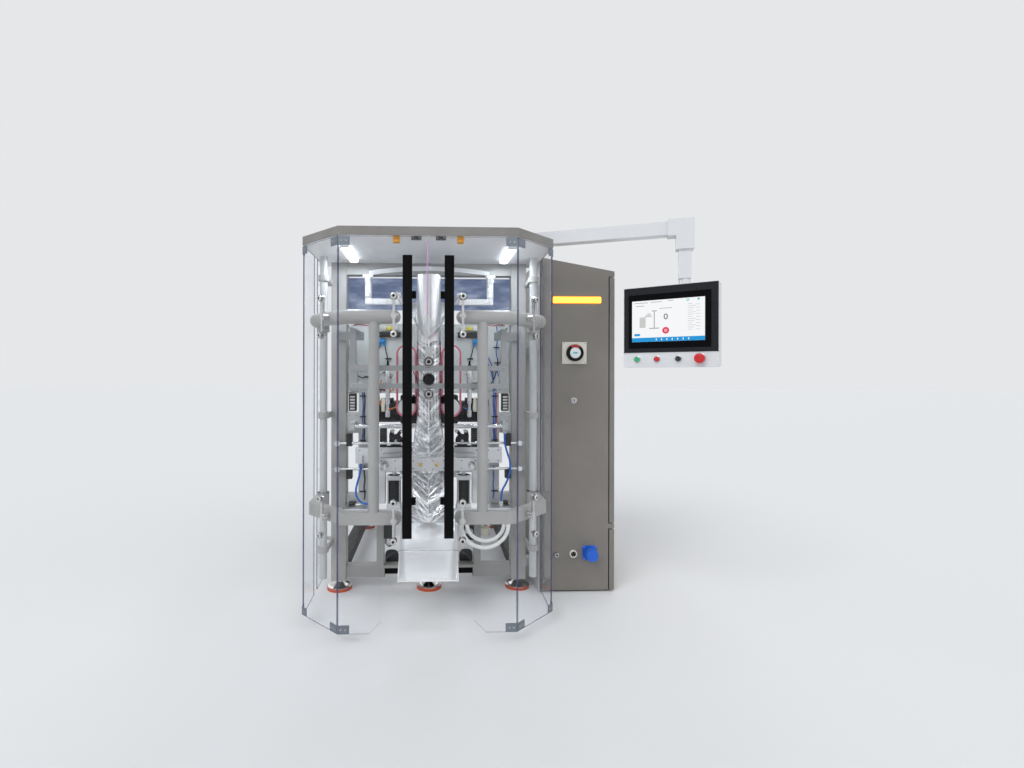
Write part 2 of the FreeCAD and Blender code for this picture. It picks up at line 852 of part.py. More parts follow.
def film():
    """Film wrapped on the forming tube, the bag above the jaws and the finished bag below."""
    outer = tube_radius + seat_gap + film_thickness
    skin_top = seam_z - film_lap
    skin_end = tube_end - film_lap
    round_width = 2 * outer
    flat = seal_thickness
    cut_z = seal_z - jaw_height / 2 - shoulder_sheet - flat
    above = skin_end - cut_z
    sections = [oval(round_width, round_width - 0.2, skin_top), oval(round_width, round_width - 0.2, skin_end)]
    for share, width, depth in ((0.82, 0.86, 0.78), (0.566, 0.95, 0.41)):
        sections.append(oval(bag_width * width, round_width * depth, cut_z + above * share))
    sections += [oval(bag_width, flat, cut_z + above * 0.33), oval(bag_width, flat, cut_z)]
    body = Part.makeLoft(sections, True, True)
    body = body.cut(Part.makeCylinder(tube_radius + seat_gap, skin_top - skin_end + film_lap,
                                      V(0, bag_y, skin_end)))
    save("film_tube", body)
    top = cut_z - seat_gap - 0.1
    fall = top - bag_foot
    low = [oval(bag_width, flat, top)]
    for share, wider, depth in ((0.913, 0, flat), (0.681, 0.12, bag_bulge), (0.406, 0.28, bag_fullness),
                                (0.15, 0.68, bag_bulge)):
        low.append(oval(bag_width + bag_spread * wider, depth, bag_foot + fall * share))
    low.append(oval(bag_width + bag_spread, flat, bag_foot))
    save("finished_bag", Part.makeLoft(low, True, True))


def belt_loop(x_low, x_high, z_low, z_high, y0, y1, thickness):
    """A flat belt round two pulleys, upright."""
    r = (x_high - x_low) / 2
    x = (x_low + x_high) / 2

    def stadium(radius):
        block = box(x - radius, x + radius, y0, y1, z_low + r, z_high - r)
        ends = [Part.makeCylinder(radius, y1 - y0, V(x, y0, z), V(0, 1, 0))
                for z in (z_low + r, z_high - r)]
        return block.fuse(ends).removeSplitter()
    return stadium(r).cut(stadium(r - thickness))


def forming_set():
    """Forming tube, shoulder, pull belts with their drives, and the vertical sealer."""
    tube = Part.makeCylinder(tube_radius, tube_top - tube_end, V(0, bag_y, tube_end))
    tube = tube.cut(Part.makeCylinder(tube_radius - tube_wall, tube_top - tube_end,
                                      V(0, bag_y, tube_end)))
    save("forming_tube", tube)
    save("forming_shoulder", shoulder())

    front = leg_width / 2
    back = front + back_plate_thickness
    half = leg_inner + back_plate_lap
    loop_radius = belt_loop_width / 2
    belt_in = tube_radius + film_thickness + 2 * seat_gap
    shaft_at = belt_in + loop_radius
    low_shaft = belt_base + loop_radius
    tab = box(shaft_at - 2 * belt_shaft_radius, shaft_at + 2 * belt_shaft_radius, front, back,
              low_shaft - 2 * belt_shaft_radius, back_plate_base)
    plate = box(-half, half, front, back, back_plate_base, back_plate_top)
    save("back_plate", fused([plate] + both_sides(tab)))

    y0, y1 = bag_y - belt_width / 2, bag_y + belt_width / 2
    loop = belt_loop(belt_in, belt_in + belt_loop_width, belt_base, belt_top, y0, y1, belt_thickness)
    save("pull_belts", *both_sides(loop))
    pulleys = []
    for z in (low_shaft, belt_top - loop_radius):
        wheel = rod(V(shaft_at, y0, z), V(shaft_at, y1, z), loop_radius - belt_thickness - seat_gap)
        shaft = rod(V(shaft_at, y0 - belt_shaft_nose, z), V(shaft_at, front, z), belt_shaft_radius)
        pulleys.append(fused([wheel, shaft]))
    save("belt_pulleys", *[p for pulley in pulleys for p in both_sides(pulley)])
    gearbox_top = low_shaft + gearbox_rise
    gearbox = soft_edges(box(shaft_at - gearbox_half, shaft_at + gearbox_half, back, back + gearbox_depth,
                             gearbox_top - gearbox_height, gearbox_top), gearbox_corner, V(0, 1, 0))
    motor_at = V(shaft_at + gearbox_half, back + gearbox_depth / 2, low_shaft - motor_drop)
    motor = rod(motor_at - V(gearbox_half, 0, 0), motor_at + V(motor_length, 0, 0), motor_radius)
    save("drive_motors", *both_sides(fused([gearbox, motor])))

    bar_back = sealer_front + sealer_bar
    bars = [box(-sealer_bar_half, sealer_bar_half, sealer_front, bar_back, z, z + sealer_bar_height)
            for z in sealer_bar_heights]
    low = sealer_bar_heights[0] - sealer_end_lap
    high = sealer_bar_heights[1] + sealer_bar_height + sealer_end_lap
    end = box(sealer_bar_half - sealer_end, sealer_bar_half, bar_back, bar_back + sealer_end_depth, low,
              high)
    x0, x1 = sealer_arm_x, sealer_arm_x + sealer_arm_width
    arm_y = bar_back + 2
    arm = box(x0, x1, arm_y, arm_y + sealer_arm_width, high, sealer_arm_top)
    beam = box(x0, x1, arm_y, -leg_width / 2 - seat_gap, sealer_arm_top,
               sealer_arm_top + sealer_beam_height)
    foot_plate = box(x0, leg_x, -leg_width / 2 - sealer_foot, -leg_width / 2,
                     sealer_arm_top - sealer_foot_lap, sealer_arm_top + sealer_beam_height + sealer_foot_lap)
    bar = box(-seal_bar_half, seal_bar_half, bar_back + seat_gap,
              bag_y - tube_radius - film_thickness - 2 * seat_gap, seal_bar_base,
              seal_bar_base + seal_bar_height)
    bolts = [rod(V(0, sealer_front - seal_bolt, z), V(0, bar_back + 1, z), seal_bolt_radius)
             for z in seal_bolt_heights]
    knob = rod(V(0, sealer_front - seal_knob, seal_knob_z), V(0, bar_back + 1, seal_knob_z),
               seal_knob_radius)
    save("vertical_sealer", fused([bar, knob] + bolts))
    frame_piece = fused(bars + both_sides(end) + both_sides(fused([arm, beam, foot_plate])))
    for z, r in [(z, seal_bolt_radius) for z in seal_bolt_heights] + [(seal_knob_z, seal_knob_radius)]:
        frame_piece = frame_piece.cut(rod(V(0, sealer_front - 1, z), V(0, bar_back + 2, z), r + seat_gap))
    save("sealer_frame", frame_piece)


def jaw_bar(sign):
    """One horizontal sealing jaw; sign is -1 in front of the film and +1 behind it."""
    face = bag_y + sign * (seal_thickness / 2 + seat_gap)
    back = bag_y + sign * jaw_depth
    bar_front = bag_y + sign * (jaw_depth - jaw_bar_depth)
    half_h = jaw_height / 2
    z0, z1 = seal_z - half_h, seal_z + half_h
    nose = jaw_face_height / 2
    block = profile_bar([(face, seal_z - nose), (bar_front, z0 + jaw_face_rim),
                         (bar_front, z1 - jaw_face_rim), (face, seal_z + nose)], 2 * jaw_face_half)
    plate = box(-jaw_plate_half, jaw_plate_half, back, back + sign * jaw_plate, z0, z1)
    pieces = [box(-jaw_half, jaw_half, bar_front, back, z0, z1), block, plate]
    if sign > 0:
        middle_z = carriage_base + carriage_height / 2
        pieces[2] = rod(V(0, back - 1, middle_z),
                        V(0, carriage_y + carriage_depth + drive_rod_lap, middle_z), drive_rod_radius)
    body = fused(pieces)
    long = 2 * jaw_depth
    for x in (-shaft_x, shaft_x):
        body = body.cut(rod(V(x, bag_y - long, seal_z), V(x, bag_y + long, seal_z),
                            shaft_radius + shaft_clearance))
    return body


def air_tube_port(x, y, z0, z1, reach=0.0):
    """A small square push-in port; reach takes it back to what carries it."""
    half = port_size / 2
    return box(x - half, x + half, y - half, y + half + reach, z0, z1)


def jaws():
    """Two jaws on round shafts, the carriage that holds the shafts, its columns and air lines."""
    save("front_jaw", jaw_bar(-1))
    save("rear_jaw", jaw_bar(1))
    carriage_back = carriage_y + carriage_depth
    half = guide_x + guide_width / 2 + carriage_overhang
    carriage = box(-half, half, carriage_y, carriage_back, carriage_base, carriage_base + carriage_height)
    middle_z = carriage_base + carriage_height / 2
    bore = rod(V(0, carriage_y - 1, middle_z),
               V(0, carriage_back + drive_rod_lap + jaw_travel + drive_spare, middle_z),
               drive_rod_radius + shaft_clearance)
    carriage = carriage.cut(bore)
    shafts = [rod(V(x, bag_y - jaw_depth - jaw_travel - shaft_nose, seal_z), V(x, carriage_y, seal_z),
                  shaft_radius) for x in (-shaft_x, shaft_x)]

    x0, x1 = guide_x - guide_width / 2, guide_x + guide_width / 2
    y0 = carriage_back + seat_gap
    y1 = y0 + guide_depth
    column = box(x0, x1, y0, y1, mount_top, guide_block_top + guide_block_height)
    block = box(x1, leg_inner, y0, y1, guide_block_top - guide_block_height, guide_block_top)
    low_block = box(x1, leg_inner, y0, y1, mount_top, mount_top + guide_foot_height)
    clamp_x = x1 + sleeve_lip
    grip = thick_rod_radius + clamp_wall
    clamp = box(clamp_x, clamp_x + clamp_width, thick_rod_y - grip, y0, thick_rod_z - grip,
                thick_rod_z + grip)
    port = air_tube_port(right_tube[0][0], right_tube_y, right_tube[0][1], thick_rod_z - grip)
    save("guide_columns", fused([column, block, low_block, clamp, port]),
         mirrored(fused([column, block, low_block, clamp])))
    thick_half = clamp_x - seat_gap
    thick = rod(V(-thick_half, thick_rod_y, thick_rod_z), V(thick_half, thick_rod_y, thick_rod_z),
                thick_rod_radius)

    rod_y = carriage_y - tie_rod_radius - seat_gap
    over = leg_x + tie_rod_overhang
    thin = []
    for z in tie_rod_heights:
        bar = rod(V(-over, rod_y, z), V(over, rod_y, z), tie_rod_radius)
        grip = box(leg_x - tie_clamp, leg_x + tie_clamp, rod_y - tie_clamp, -leg_width / 2, z - tie_clamp,
                   z + tie_clamp)
        thin.append(fused([bar] + both_sides(grip)))
    save("cross_rods", thick, *thin, *shafts)

    cylinder = rod(V(lift_x, lift_y, mount_top), V(lift_x, lift_y, lift_top), lift_radius)
    drive = rod(V(0, carriage_back, middle_z), V(0, carriage_back + drive_length, middle_z), drive_radius)
    save("lift_cylinders", *both_sides(cylinder), drive.cut(bore))
    mount = box(-leg_inner, leg_inner, mount_front, carriage_y, mount_top - mount_height, mount_top)
    under = mount_top - mount_height
    fittings = [rod(V(x, y, z), V(x, y, under), fitting_radius)
                for y, route in ((front_hose_y, front_hose), (back_hose_y, back_hose))
                for x, z in (route[0], route[-1])]
    fittings.append(air_tube_port(left_tube[-1][0] + port_size / 2, left_tube_y, mount_top,
                                  left_tube[-1][1] + port_size / 2))
    fittings.append(air_tube_port(right_tube[-1][0], right_tube_y, mount_top, right_tube[-1][1]))
    start = air_tube_port(left_tube[0][0], left_tube_y, left_tube[0][1], left_tube[0][1] + 2 * port_size,
                          carriage_y - left_tube_y - port_size / 2)
    rail_side = leg_x + rail_size / 2
    tabs = [box(rail_side, cabinet_left, tab_front, tab_front + tab_width, z + tab_rim,
                z + rail_size - tab_rim) for z in (rail_base, rear_height - rail_size)]
    save("carrier_beams", fused([carriage, start]), fused([mount] + fittings), *tabs)


def cord(route, y, radius):
    """A hose through (x, z) points in the plane y: straight runs joined by wide tangent arcs."""
    points = [V(x, y, z) for x, z in route]
    edges = []
    last = points[0]
    radii = []
    for before, corner, after in zip(points, points[1:], points[2:]):
        turn = (corner - before).getAngle(after - corner)
        shorter = min((corner - before).Length, (after - corner).Length)
        radii.append(0.45 * shorter / math.tan(turn / 2))
        arc, start, end = bend_at(before, corner, after, radii[-1])
        edges += [Part.LineSegment(last, start).toShape(), arc]
        last = end
    edges.append(Part.LineSegment(last, points[-1]).toShape())
    path = Part.Wire(edges)
    section = Part.Wire(Part.makeCircle(radius, points[0], points[1] - points[0]))
    tube = path.makePipeShell([section], True, True)
    share = tube.Volume / (math.pi * radius ** 2 * path.Length)
    print("length %.0f  diameters of bend %s  volume %.4f" % (
        path.Length, " ".join("%.1f" % (r / (2 * radius)) for r in radii), share))
    return tube


def hoses():
    """Two white hoses and two air tubes that hang between fixed fittings."""
    save("white_hose_front", cord(front_hose, front_hose_y, hose_radius))
    save("white_hose_back", cord(back_hose, back_hose_y, hose_radius))
    save("blue_tube_left", cord(left_tube, left_tube_y, tube_line_radius))
    save("blue_tube_right", cord(right_tube, right_tube_y, tube_line_radius))


def chute():
    """Stainless discharge chute: a folded sheet with upright sides."""
    drop = chute_sheet * 1.25
    seat = mount_top + seat_gap + drop
    line = [(chute_back, seat), (mount_front - 2 * chute_sheet, seat), (chute_knee_y, chute_knee_z),
            (chute_lip_y, chute_lip_z)]
    under = [(y, z - drop) for y, z in reversed(line)]
    sheet = profile_bar(line + under, 2 * chute_half)
    wall = profile_bar([(y, z - drop) for y, z in line] +
                       [(y, z + chute_rise) for y, z in reversed(line)], chute_sheet)
    wall.translate(V(chute_half - chute_sheet / 2, 0, 0))
    save("discharge_chute", fused([sheet] + both_sides(wall)))


def film_unwind():
    """Film reel on its shaft and the rollers that lead the film to the shoulder."""
    y = frame_depth - reel_inset
    z = reel_z
    reel = rod(V(-reel_half, y, z), V(reel_half, y, z), reel_radius)
    reel = reel.cut(rod(V(-reel_half - 1, y, z), V(reel_half + 1, y, z), reel_core_radius))
    save("film_reel", reel)
    plate_x = leg_inner - reel_plate_inset
    shaft = rod(V(-plate_x, y, z), V(plate_x, y, z), reel_shaft_radius)
    near, far = reel_half + seat_gap, reel_half + reel_cone
    cones = [rod(V(s * near, y, z), V(s * far, y, z), reel_cone_radius) for s in (-1, 1)]
    shaft = fused([shaft] + cones)
    plate = box(plate_x, plate_x + reel_plate, y - reel_plate_half, y + reel_plate_half, rail_top,
                z + reel_plate_half)
    foot_bar = box(plate_x, leg_x, y - reel_plate_half, y + reel_plate_half, rail_top,
                   rail_top + tab_rim)
    support = fused([plate, foot_bar])
    roller_half = leg_inner - roller_inset
    rear_y = frame_depth - rear_roller_inset
    places = [(rear_y, unwind_post_base + rise) for rise in rear_roller_rises] + [(ry, top_roller_z) for ry in top_roller_places]
    rollers = [rod(V(-roller_half, ry, rz), V(roller_half, ry, rz), roller_radius) for ry, rz in places]
    save("film_rollers", shaft, *rollers)
    x0, x1 = roller_half, roller_half + unwind_plate
    rail_z = rear_height - unwind_rail_height
    rail = box(x0, x1, unwind_rail_front, frame_depth - leg_width / 2, rail_z, rear_height)
    upright = box(x0, x1, rear_y - unwind_post_half, rear_y + unwind_post_half, unwind_post_base, rail_z)
    save("unwind_plates", *both_sides(fused([rail, upright])), *both_sides(support))


cabinet_left = guard_half + cabinet_gap
cabinet_right = cabinet_left + cabinet_width
cabinet_back = cabinet_front + cabinet_depth
cabinet_outer = cabinet_right + cabinet_door_gap + cabinet_door


def cabinet_top(x):
    """Height of the sloping cabinet top at x."""
    share = (x - cabinet_left) / (cabinet_outer - cabinet_left)
    return cabinet_top_left + (cabinet_top_right - cabinet_top_left) * share


def cabinet():
    """Sheet steel control cabinet with a sloping top and two doors on its right side."""
    def profile(x0, x1, z0, lower):
        points = [V(x0, 0, z0), V(x1, 0, z0), V(x1, 0, cabinet_top(x1) - lower),
                  V(x0, 0, cabinet_top(x0) - lower)]
        return Part.Face(Part.makePolygon(points + points[:1]))
    outside = profile(cabinet_left, cabinet_outer, cabinet_base, 0).extrude(V(0, cabinet_depth, 0))
    outside.translate(V(0, cabinet_front, 0))
    w = cabinet_wall
    inside = profile(cabinet_left + w, cabinet_right, cabinet_base + w, w + 1).extrude(
        V(0, cabinet_depth - 2 * w, 0))
    inside.translate(V(0, cabinet_front + w, 0))
    shell = outside.cut(inside)
    lid_z = cabinet_top(cabinet_outer) - cabinet_lid
    low_z = cabinet_split - cabinet_rib / 2
    high_z = cabinet_split + cabinet_rib / 2
    for z0, z1 in ((cabinet_base - 1, low_z), (high_z, lid_z)):
        shell = shell.cut(box(cabinet_right, cabinet_outer + 1, cabinet_front - 1, cabinet_back + 1,
                              z0, z1))
    gap = cabinet_door_gap
    x0 = cabinet_right + gap
    hinge = V(cabinet_outer + door_barrel, cabinet_back + door_leaf, 0)
    inset = door_knuckle_inset
    leaves = []
    for name, z0, z1 in (("lower", cabinet_base, low_z - gap), ("upper", high_z + gap, lid_z - gap)):
        door = box(x0, cabinet_outer, cabinet_front, cabinet_back - 4, z0, z1)
        t = cabinet_door_wall
        hollow = box(x0 - 1, cabinet_outer - t, cabinet_front + t, cabinet_back - 4 - t, z0 + t, z1 - t)
        door = door.cut(hollow)
        for z in (z0 + inset, z1 - inset - 2 * door_knuckle):
            middle = z + door_knuckle
            low = Part.makeCylinder(door_barrel, door_knuckle, V(hinge.x, hinge.y, z))
            pin = Part.makeCylinder(door_pin_radius, 2 * door_knuckle, V(hinge.x, hinge.y, z))
            leaf = box(cabinet_right - door_knuckle, hinge.x, cabinet_back, cabinet_back + door_leaf, z,
                       middle)
            leaves += [low, pin, leaf]
            above = middle + seat_gap
            high = Part.makeCylinder(door_barrel, door_knuckle - seat_gap, V(hinge.x, hinge.y, above))
            strap = box(cabinet_outer, cabinet_outer + door_leaf, cabinet_back - door_strap, hinge.y,
                        above, middle + door_knuckle)
            bore = Part.makeCylinder(door_pin_radius + door_pin_clearance, 3 * door_knuckle,
                                     V(hinge.x, hinge.y, z))
            door = door.fuse([strap, high]).cut(bore)
        save("cabinet_" + name + "_door", door.removeSplitter())
    save("cabinet_shell", fused([shell] + leaves))
    front = cabinet_front

    def fitting(place, radius, depth, start=0.0):
        x, z = place
        return rod(V(x, front - start, z), V(x, front - start - depth, z), radius)
    x0, x1, z0, z1 = bar_light
    save("status_light", box(x0, x1, front - bar_light_depth, front, z0, z1))
    x0, x1, z0, z1 = switch_plate
    plate = box(x0, x1, front - switch_plate_depth, front, z0, z1)
    knob_at = ((x0 + x1) / 2, (z0 + z1) / 2)
    save("main_switch", fitting(knob_at, switch_knob_radius, switch_knob, switch_plate_depth + seat_gap))
    save("cabinet_fittings", plate, fitting(lock_place, lock_radius, lock_depth),
         fitting(small_socket, small_socket_radius, inlet_flange),
         fitting(round_socket, round_socket_radius, switch_plate_depth))
    save("power_inlet", fused([fitting(inlet_place, inlet_flange_radius, inlet_flange),
                               fitting(inlet_place, inlet_cap_radius, inlet_cap, inlet_flange)]))


arm_pivot_x = guard_half - arm_pivot_inset


def turned(shape, angle, axis_at):
    """A copy turned about the vertical through axis_at."""
    copy = shape.copy()
    copy.rotate(axis_at, UP, angle)
    return copy


def control_arm():
    """Swinging arm on the roof with an elbow and a drop tube."""
    z0 = roof_top + arm_clearance
    z1 = z0 + arm_height
    y = arm_pivot_y
    pivot = V(arm_pivot_x, y, 0)
    half = arm_height / 2
    base = Part.makeCylinder(arm_base_radius, arm_clearance - seat_gap, V(arm_pivot_x, y, roof_top))
    pin = Part.makeCylinder(arm_pin_radius, arm_height - arm_pin_cover, V(arm_pivot_x, y, roof_top))
    save("arm_base", fused([base, pin]))
    end_x = arm_pivot_x + arm_length
    tube = box(arm_pivot_x, end_x, y - half, y + half, z0, z1)
    head = Part.makeCylinder(arm_head_radius, arm_height, V(arm_pivot_x, y, z0))
    bore = Part.makeCylinder(arm_pin_radius + arm_pin_clearance, arm_height - arm_pin_cover + 2,
                             V(arm_pivot_x, y, z0))
    wide = half + elbow_side
    elbow = box(end_x - elbow_back, end_x + elbow_end, y - wide, y + wide, elbow_base, z1 + elbow_top)
    under = box(end_x - elbow_back - 1, end_x - elbow_end, y - wide - 1, y + wide + 1, elbow_base - 1,
                z0 - elbow_side)
    arm = tube.fuse([head, elbow]).cut(bore).cut(under)
    d = drop_size / 2
    drop = box(end_x - d, end_x + d, y - d, y + d, panel_z + swivel_top, elbow_base)
    save("control_arm", turned(fused([arm, drop]), -arm_turn, pivot))


def panel_place():
    """Plan position of the drop tube and of the panel's middle."""
    a = math.radians(-arm_turn)
    tube = V(arm_pivot_x + arm_length * math.cos(a), arm_pivot_y + arm_length * math.sin(a), 0)
    p = math.radians(-panel_turn)
    along = V(math.cos(p), math.sin(p), 0)
    behind = V(-along.y, along.x, 0)
    return tube - along * panel_side_offset - behind * panel_tube_offset


def control_panel():
    """Operator panel on a swivel under the drop tube."""
    middle = panel_place()
    w, d = panel_width / 2, panel_depth
    low, high = panel_z - panel_height / 2, panel_z + panel_height / 2
    body = soft_edges(box(-w, w, 0, d, low, high), panel_corner, V(0, 1, 0))
    swivel = Part.makeCylinder(swivel_radius, swivel_top - swivel_base - seat_gap,
                               V(panel_side_offset, panel_tube_offset, panel_z + swivel_base))
    neck = box(panel_side_offset - neck_half, panel_side_offset + neck_half, d,
               panel_tube_offset + swivel_radius, panel_z + neck_base, panel_z + neck_top)
    bezel = box(-w + bezel_rim, w - bezel_rim, -bezel_depth, 0, low + bezel_base, high - bezel_top_rim)
    glass = box(-w + glass_left_rim, w - glass_right_rim, -bezel_depth - glass_depth, -bezel_depth,
                low + glass_base, high - glass_top_rim)

    def place(shape):
        shape.rotate(V(0, 0, 0), UP, -panel_turn)
        shape.translate(middle)
        return shape
    save("panel_body", place(fused([body, swivel, neck])))
    save("panel_bezel", place(bezel))
    save("panel_screen", place(glass))
    z = low + button_row
    buttons = [place(rod(V(x, 0, z), V(x, -button_depth, z), button_radius)) for x in button_places]
    stem = rod(V(stop_place, 0, z), V(stop_place, -stop_stem, z), stop_stem_radius)
    head = rod(V(stop_place, -stop_stem, z), V(stop_place, -stop_stem - stop_depth, z), stop_radius)
    save("panel_buttons", *buttons, place(fused([stem, head])))


frame()
feet()
roof()
doors()
film()
forming_set()
jaws()
hoses()
chute()
film_unwind()
cabinet()
control_arm()
control_panel()
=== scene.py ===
import math

import bmesh
import bpy
import numpy as np
from mathutils import Matrix, Vector


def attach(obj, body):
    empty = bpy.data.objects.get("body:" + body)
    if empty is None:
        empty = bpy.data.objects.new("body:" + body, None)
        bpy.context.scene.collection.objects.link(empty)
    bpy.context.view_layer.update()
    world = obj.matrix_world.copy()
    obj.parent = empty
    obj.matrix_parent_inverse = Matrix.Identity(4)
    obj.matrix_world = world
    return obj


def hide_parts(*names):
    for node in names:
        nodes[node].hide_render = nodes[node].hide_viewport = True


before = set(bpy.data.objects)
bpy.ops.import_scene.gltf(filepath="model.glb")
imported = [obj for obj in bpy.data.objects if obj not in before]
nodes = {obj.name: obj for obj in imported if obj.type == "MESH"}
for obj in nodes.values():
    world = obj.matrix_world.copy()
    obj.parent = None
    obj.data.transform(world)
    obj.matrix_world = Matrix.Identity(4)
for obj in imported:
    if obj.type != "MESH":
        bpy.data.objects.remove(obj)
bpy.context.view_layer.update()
scene = bpy.context.scene

# The room: the camera stands in front of the middle of the machine, a little below half height,
# with a wide lens that is shifted so that the machine stands left of the picture's middle.
# Pale floor and pale backdrop, a soft sky and three wide soft lamps.
LENS_PIXELS = 534.9
PICTURE_WIDTH = 1024
SHIFT_PIXELS = (60.6, -9.54)
SENSOR_WIDTH = 36
EYE = (0.0192, -2.7657, 1.0984)
HEADING = 0.0344
ROLL = 0.002
camera_data = bpy.data.cameras.new("camera")
camera_data.sensor_width = SENSOR_WIDTH
camera_data.lens = LENS_PIXELS / PICTURE_WIDTH * SENSOR_WIDTH
camera_data.shift_x = SHIFT_PIXELS[0] / PICTURE_WIDTH
camera_data.shift_y = SHIFT_PIXELS[1] / PICTURE_WIDTH
camera = bpy.data.objects.new("camera", camera_data)
scene.collection.objects.link(camera)
ahead = Vector((math.sin(HEADING), math.cos(HEADING), 0))
level = Vector((math.cos(HEADING), -math.sin(HEADING), 0))
upward = Vector((0, 0, 1))
right = level * math.cos(ROLL) + upward * math.sin(ROLL)
top = upward * math.cos(ROLL) - level * math.sin(ROLL)
turn = Matrix((right, top, -ahead)).transposed().to_4x4()
camera.matrix_world = Matrix.Translation(EYE) @ turn
scene.camera = camera
scene.view_settings.view_transform = "Standard"

BACKDROP = (0.79, 0.80, 0.815, 1)
world = bpy.data.worlds.new("room")
scene.world = world
world.use_nodes = True
tree = world.node_tree
light_sky = tree.nodes["Background"]
light_sky.inputs["Color"].default_value = (0.96, 0.98, 1, 1)
light_sky.inputs["Strength"].default_value = 0.56
seen_sky = tree.nodes.new("ShaderNodeBackground")
seen_sky.inputs["Color"].default_value = BACKDROP
rays = tree.nodes.new("ShaderNodeLightPath")
seen = rays.outputs["Is Camera Ray"]
for kind in ("Is Transmission Ray", "Is Glossy Ray"):
    either = tree.nodes.new("ShaderNodeMath")
    either.operation = "MAXIMUM"
    tree.links.new(seen, either.inputs[0])
    tree.links.new(rays.outputs[kind], either.inputs[1])
    seen = either.outputs[0]
sky = tree.nodes.new("ShaderNodeMixShader")
tree.links.new(seen, sky.inputs[0])
tree.links.new(light_sky.outputs[0], sky.inputs[1])
tree.links.new(seen_sky.outputs[0], sky.inputs[2])
tree.links.new(sky.outputs[0], tree.nodes["World Output"].inputs["Surface"])

for name, toward, strength, angle in (
    ("key_lamp", (-0.55, -0.75, 0.85), 1.25, 35),
    ("fill_lamp", (0.8, -0.6, 0.55), 0.5, 60),
    ("back_lamp", (0.2, 0.9, 0.7), 0.5, 60),
):
    lamp = bpy.data.lights.new(name, "SUN")
    lamp.energy = strength
    lamp.angle = math.radians(angle)
    stand = bpy.data.objects.new(name, lamp)
    stand.rotation_euler = Vector(toward).to_track_quat("Z", "Y").to_euler()
    scene.collection.objects.link(stand)

FLOOR_HALF, FLOOR_DEPTH = 40.0, -0.0002
floor_mesh = bpy.data.meshes.new("floor")
floor_corners = [(x * FLOOR_HALF, y * FLOOR_HALF, FLOOR_DEPTH)
                 for x, y in ((-1, -1), (1, -1), (1, 1), (-1, 1))]
floor_mesh.from_pydata(floor_corners, [], [(0, 1, 2, 3)])
floor = bpy.data.objects.new("floor", floor_mesh)
scene.collection.objects.link(floor)
floor_paint = bpy.data.materials.new("floor_paint")
floor_paint.use_nodes = True
floor_shader = floor_paint.node_tree.nodes["Principled BSDF"]
floor_shader.inputs["Base Color"].default_value = BACKDROP
floor_shader.inputs["Roughness"].default_value = 0.85
floor_shader.inputs["Specular IOR Level"].default_value = 0.1
floor_mesh.materials.append(floor_paint)


# Two white silicone hoses that cool the jaws, and two blue air tubes to the cylinders.
# Each is pushed onto a fitting at both ends and hangs in a loop between them.
def new_finish(name, colour, roughness, metallic=0.0, **sockets):
    """A material with one principled shader; sockets are set by name with _ for a space."""
    made = bpy.data.materials.new(name)
    made.use_nodes = True
    shader = made.node_tree.nodes["Principled BSDF"]
    shader.inputs["Base Color"].default_value = (*colour, 1)
    shader.inputs["Roughness"].default_value = roughness
    shader.inputs["Metallic"].default_value = metallic
    for socket, value in sockets.items():
        shader.inputs[socket.replace("_", " ")].default_value = value
    return made


def shader_of(made):
    """The principled shader of a material."""
    return made.node_tree.nodes["Principled BSDF"]


def place_on_piece(made, stretch=(1, 1, 1)):
    """Object coordinates, stretched along each axis."""
    tree = made.node_tree
    where = tree.nodes.new("ShaderNodeTexCoord")
    fit = tree.nodes.new("ShaderNodeMapping")
    fit.inputs["Scale"].default_value = stretch
    tree.links.new(where.outputs["Object"], fit.inputs["Vector"])
    return fit.outputs["Vector"]


def cloud(made, vector, scale, detail=3.0, roughness=0.5):
    """Noise between 0 and 1 at scale per metre."""
    noise = made.node_tree.nodes.new("ShaderNodeTexNoise")
    noise.inputs["Scale"].default_value = scale
    noise.inputs["Detail"].default_value = detail
    noise.inputs["Roughness"].default_value = roughness
    made.node_tree.links.new(vector, noise.inputs["Vector"])
    return noise.outputs["Fac"]


def calc(made, operation, *values):
    """One arithmetic step on numbers or sockets."""
    step = made.node_tree.nodes.new("ShaderNodeMath")
    step.operation = operation
    for socket, value in zip(step.inputs, values):
        if isinstance(value, (int, float)):
            socket.default_value = value
        else:
            made.node_tree.links.new(value, socket)
    return step.outputs[0]


def axes_of(made, vector):
    """The three parts of a vector."""
    split = made.node_tree.nodes.new("ShaderNodeSeparateXYZ")
    made.node_tree.links.new(vector, split.inputs[0])
    return split.outputs


def spread(made, value, low, high, out_low, out_high):
    """A value between low and high stretched to out_low and out_high."""
    fit = made.node_tree.nodes.new("ShaderNodeMapRange")
    made.node_tree.links.new(value, fit.inputs["Value"])
    limits = (("From Min", low), ("From Max", high), ("To Min", out_low), ("To Max", out_high))
    for socket, number in limits:
        fit.inputs[socket].default_value = number
    return fit.outputs["Result"]


def blended(made, factor, first, second):
    """Colour from first to second by factor; either may be a socket."""
    mix = made.node_tree.nodes.new("ShaderNodeMix")
    mix.data_type = "RGBA"
    made.node_tree.links.new(factor, mix.inputs[0])
    for socket, colour in ((mix.inputs[6], first), (mix.inputs[7], second)):
        if isinstance(colour, tuple):
            socket.default_value = (*colour, 1)
        else:
            made.node_tree.links.new(colour, socket)
    return mix.outputs[2]


def set_socket(made, socket, value):
    """Link a value to a socket of the principled shader."""
    made.node_tree.links.new(value, shader_of(made).inputs[socket])


